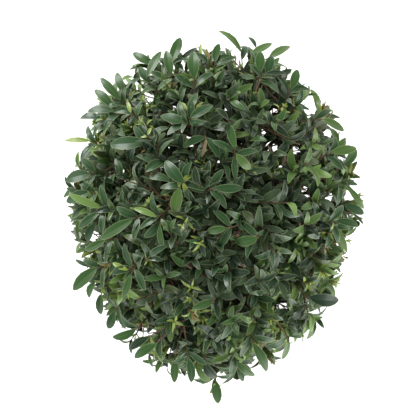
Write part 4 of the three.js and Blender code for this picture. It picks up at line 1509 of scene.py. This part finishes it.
class BONSAI_OT_stage(Operator):
    """Set the pale floor, the soft lights and the camera"""

    bl_idname = "bonsai.stage"
    bl_label = "Floor, Lights and Camera"

    def execute(self, context):
        scene = context.scene
        stage, crown = scene.bonsai_stage, scene.bonsai_crown
        self.lay_floor(stage)
        key_place, fill_place = (-1.0, 1.05, 1.15), (1.1, -1.35, 0.75)
        self.hang_light("key_light", key_place, width=0.8, power=stage.key, crown=crown)
        self.hang_light("fill_light", fill_place, width=1.4, power=stage.fill, crown=crown)
        self.open_sky(scene, stage)
        self.set_camera(scene, stage, crown)
        scene.view_settings.view_transform = "Standard"
        scene.view_settings.look = "None"
        return {"FINISHED"}

    def lay_floor(self, stage):
        """A wide pale floor that shines a little, so that it stays white under the crown."""
        clear_selection()
        bpy.ops.mesh.primitive_plane_add(size=8, location=(0, 0, -0.0004))
        floor = bpy.context.object
        floor.name = floor.data.name = "floor"
        bpy.ops.object.transform_apply(location=True)
        constants = {
            "Base Color": stage.floor,
            "Roughness": 0.9,
            "Specular IOR Level": 0.1,
            "Emission Color": WHITE,
            "Emission Strength": stage.glow,
        }
        pale = Finish("pale_floor", constants)
        floor.data.materials.append(pale.material)
        floor.visible_diffuse = False

    def open_sky(self, scene, stage):
        """Even light, brighter from the sides than from above, and the camera's pale backdrop."""
        world = bpy.data.worlds.new("studio")
        scene.world = world
        world.use_nodes = True
        nodes, links = world.node_tree.nodes, world.node_tree.links
        spot = nodes.new("ShaderNodeTexCoord")
        axes = nodes.new("ShaderNodeSeparateXYZ")
        slope = nodes.new("ShaderNodeMapRange")
        ray = nodes.new("ShaderNodeLightPath")
        pick = nodes.new("ShaderNodeMix")
        bands = {"From Min": 0.1, "From Max": 0.7, "To Min": stage.horizon, "To Max": stage.sky}
        for name, value in bands.items():
            slope.inputs[name].default_value = value
        pick.inputs["B"].default_value = stage.backdrop
        links.new(spot.outputs["Generated"], axes.inputs[0])
        links.new(axes.outputs["Z"], slope.inputs["Value"])
        links.new(ray.outputs["Is Camera Ray"], pick.inputs["Factor"])
        links.new(slope.outputs[0], pick.inputs["A"])
        links.new(pick.outputs[0], nodes["Background"].inputs["Strength"])
        nodes["Background"].inputs["Color"].default_value = (*WHITE, 1)

    def hang_light(self, name, place, width, power, crown):
        """A large soft square light that faces the crown."""
        clear_selection()
        bpy.ops.object.light_add(type="AREA", location=place)
        light = bpy.context.object
        light.name = name
        light.data.size = width
        light.data.energy = power
        away = Vector(place) - Vector((0, 0, crown.level))
        light.rotation_euler = away.to_track_quat("Z", "Y").to_euler()

    def set_camera(self, scene, stage, crown):
        """The camera at the photograph's viewpoint."""
        view = Camera(stage, crown)
        clear_selection()
        bpy.ops.object.camera_add(location=view.place)
        camera = bpy.context.object
        turned = Matrix((view.right, view.up, view.back)).transposed()
        camera.rotation_euler = turned.to_euler()
        camera.data.lens = stage.lens
        camera.data.sensor_width = SENSOR_WIDTH
        camera.data.clip_start = 0.01
        scene.camera = camera


OPERATORS = (BONSAI_OT_pot, BONSAI_OT_soil, BONSAI_OT_limbs, BONSAI_OT_foliage, BONSAI_OT_stage)


class BONSAI_PT_panel(Panel):
    """Settings and steps of the bonsai"""

    bl_idname = "BONSAI_PT_panel"
    bl_label = "Brush Cherry Bonsai"
    bl_space_type = "VIEW_3D"
    bl_region_type = "UI"
    bl_category = "Bonsai"

    def draw(self, context):
        for operator in OPERATORS:
            self.layout.operator(operator.bl_idname)
        for name, group in SETTINGS:
            box = self.layout.box()
            box.label(text=group.__doc__)
            settings = getattr(context.scene, name)
            for prop in group.__annotations__:
                box.prop(settings, prop)


CLASSES = tuple(group for name, group in SETTINGS) + OPERATORS + (BONSAI_PT_panel,)


def register():
    """Adds the classes, and the settings to the scene."""
    for cls in CLASSES:
        bpy.utils.register_class(cls)
    for name, group in SETTINGS:
        setattr(bpy.types.Scene, name, PointerProperty(type=group))


def unregister():
    """Takes the settings and the classes away again."""
    for name, unused in SETTINGS:
        delattr(bpy.types.Scene, name)
    for cls in reversed(CLASSES):
        bpy.utils.unregister_class(cls)


def main():
    """Makes every piece in order."""
    register()
    bpy.ops.bonsai.pot()
    bpy.ops.bonsai.soil()
    bpy.ops.bonsai.limbs()
    bpy.ops.bonsai.foliage()
    bpy.ops.bonsai.stage()


if __name__ == "__main__":
    main()
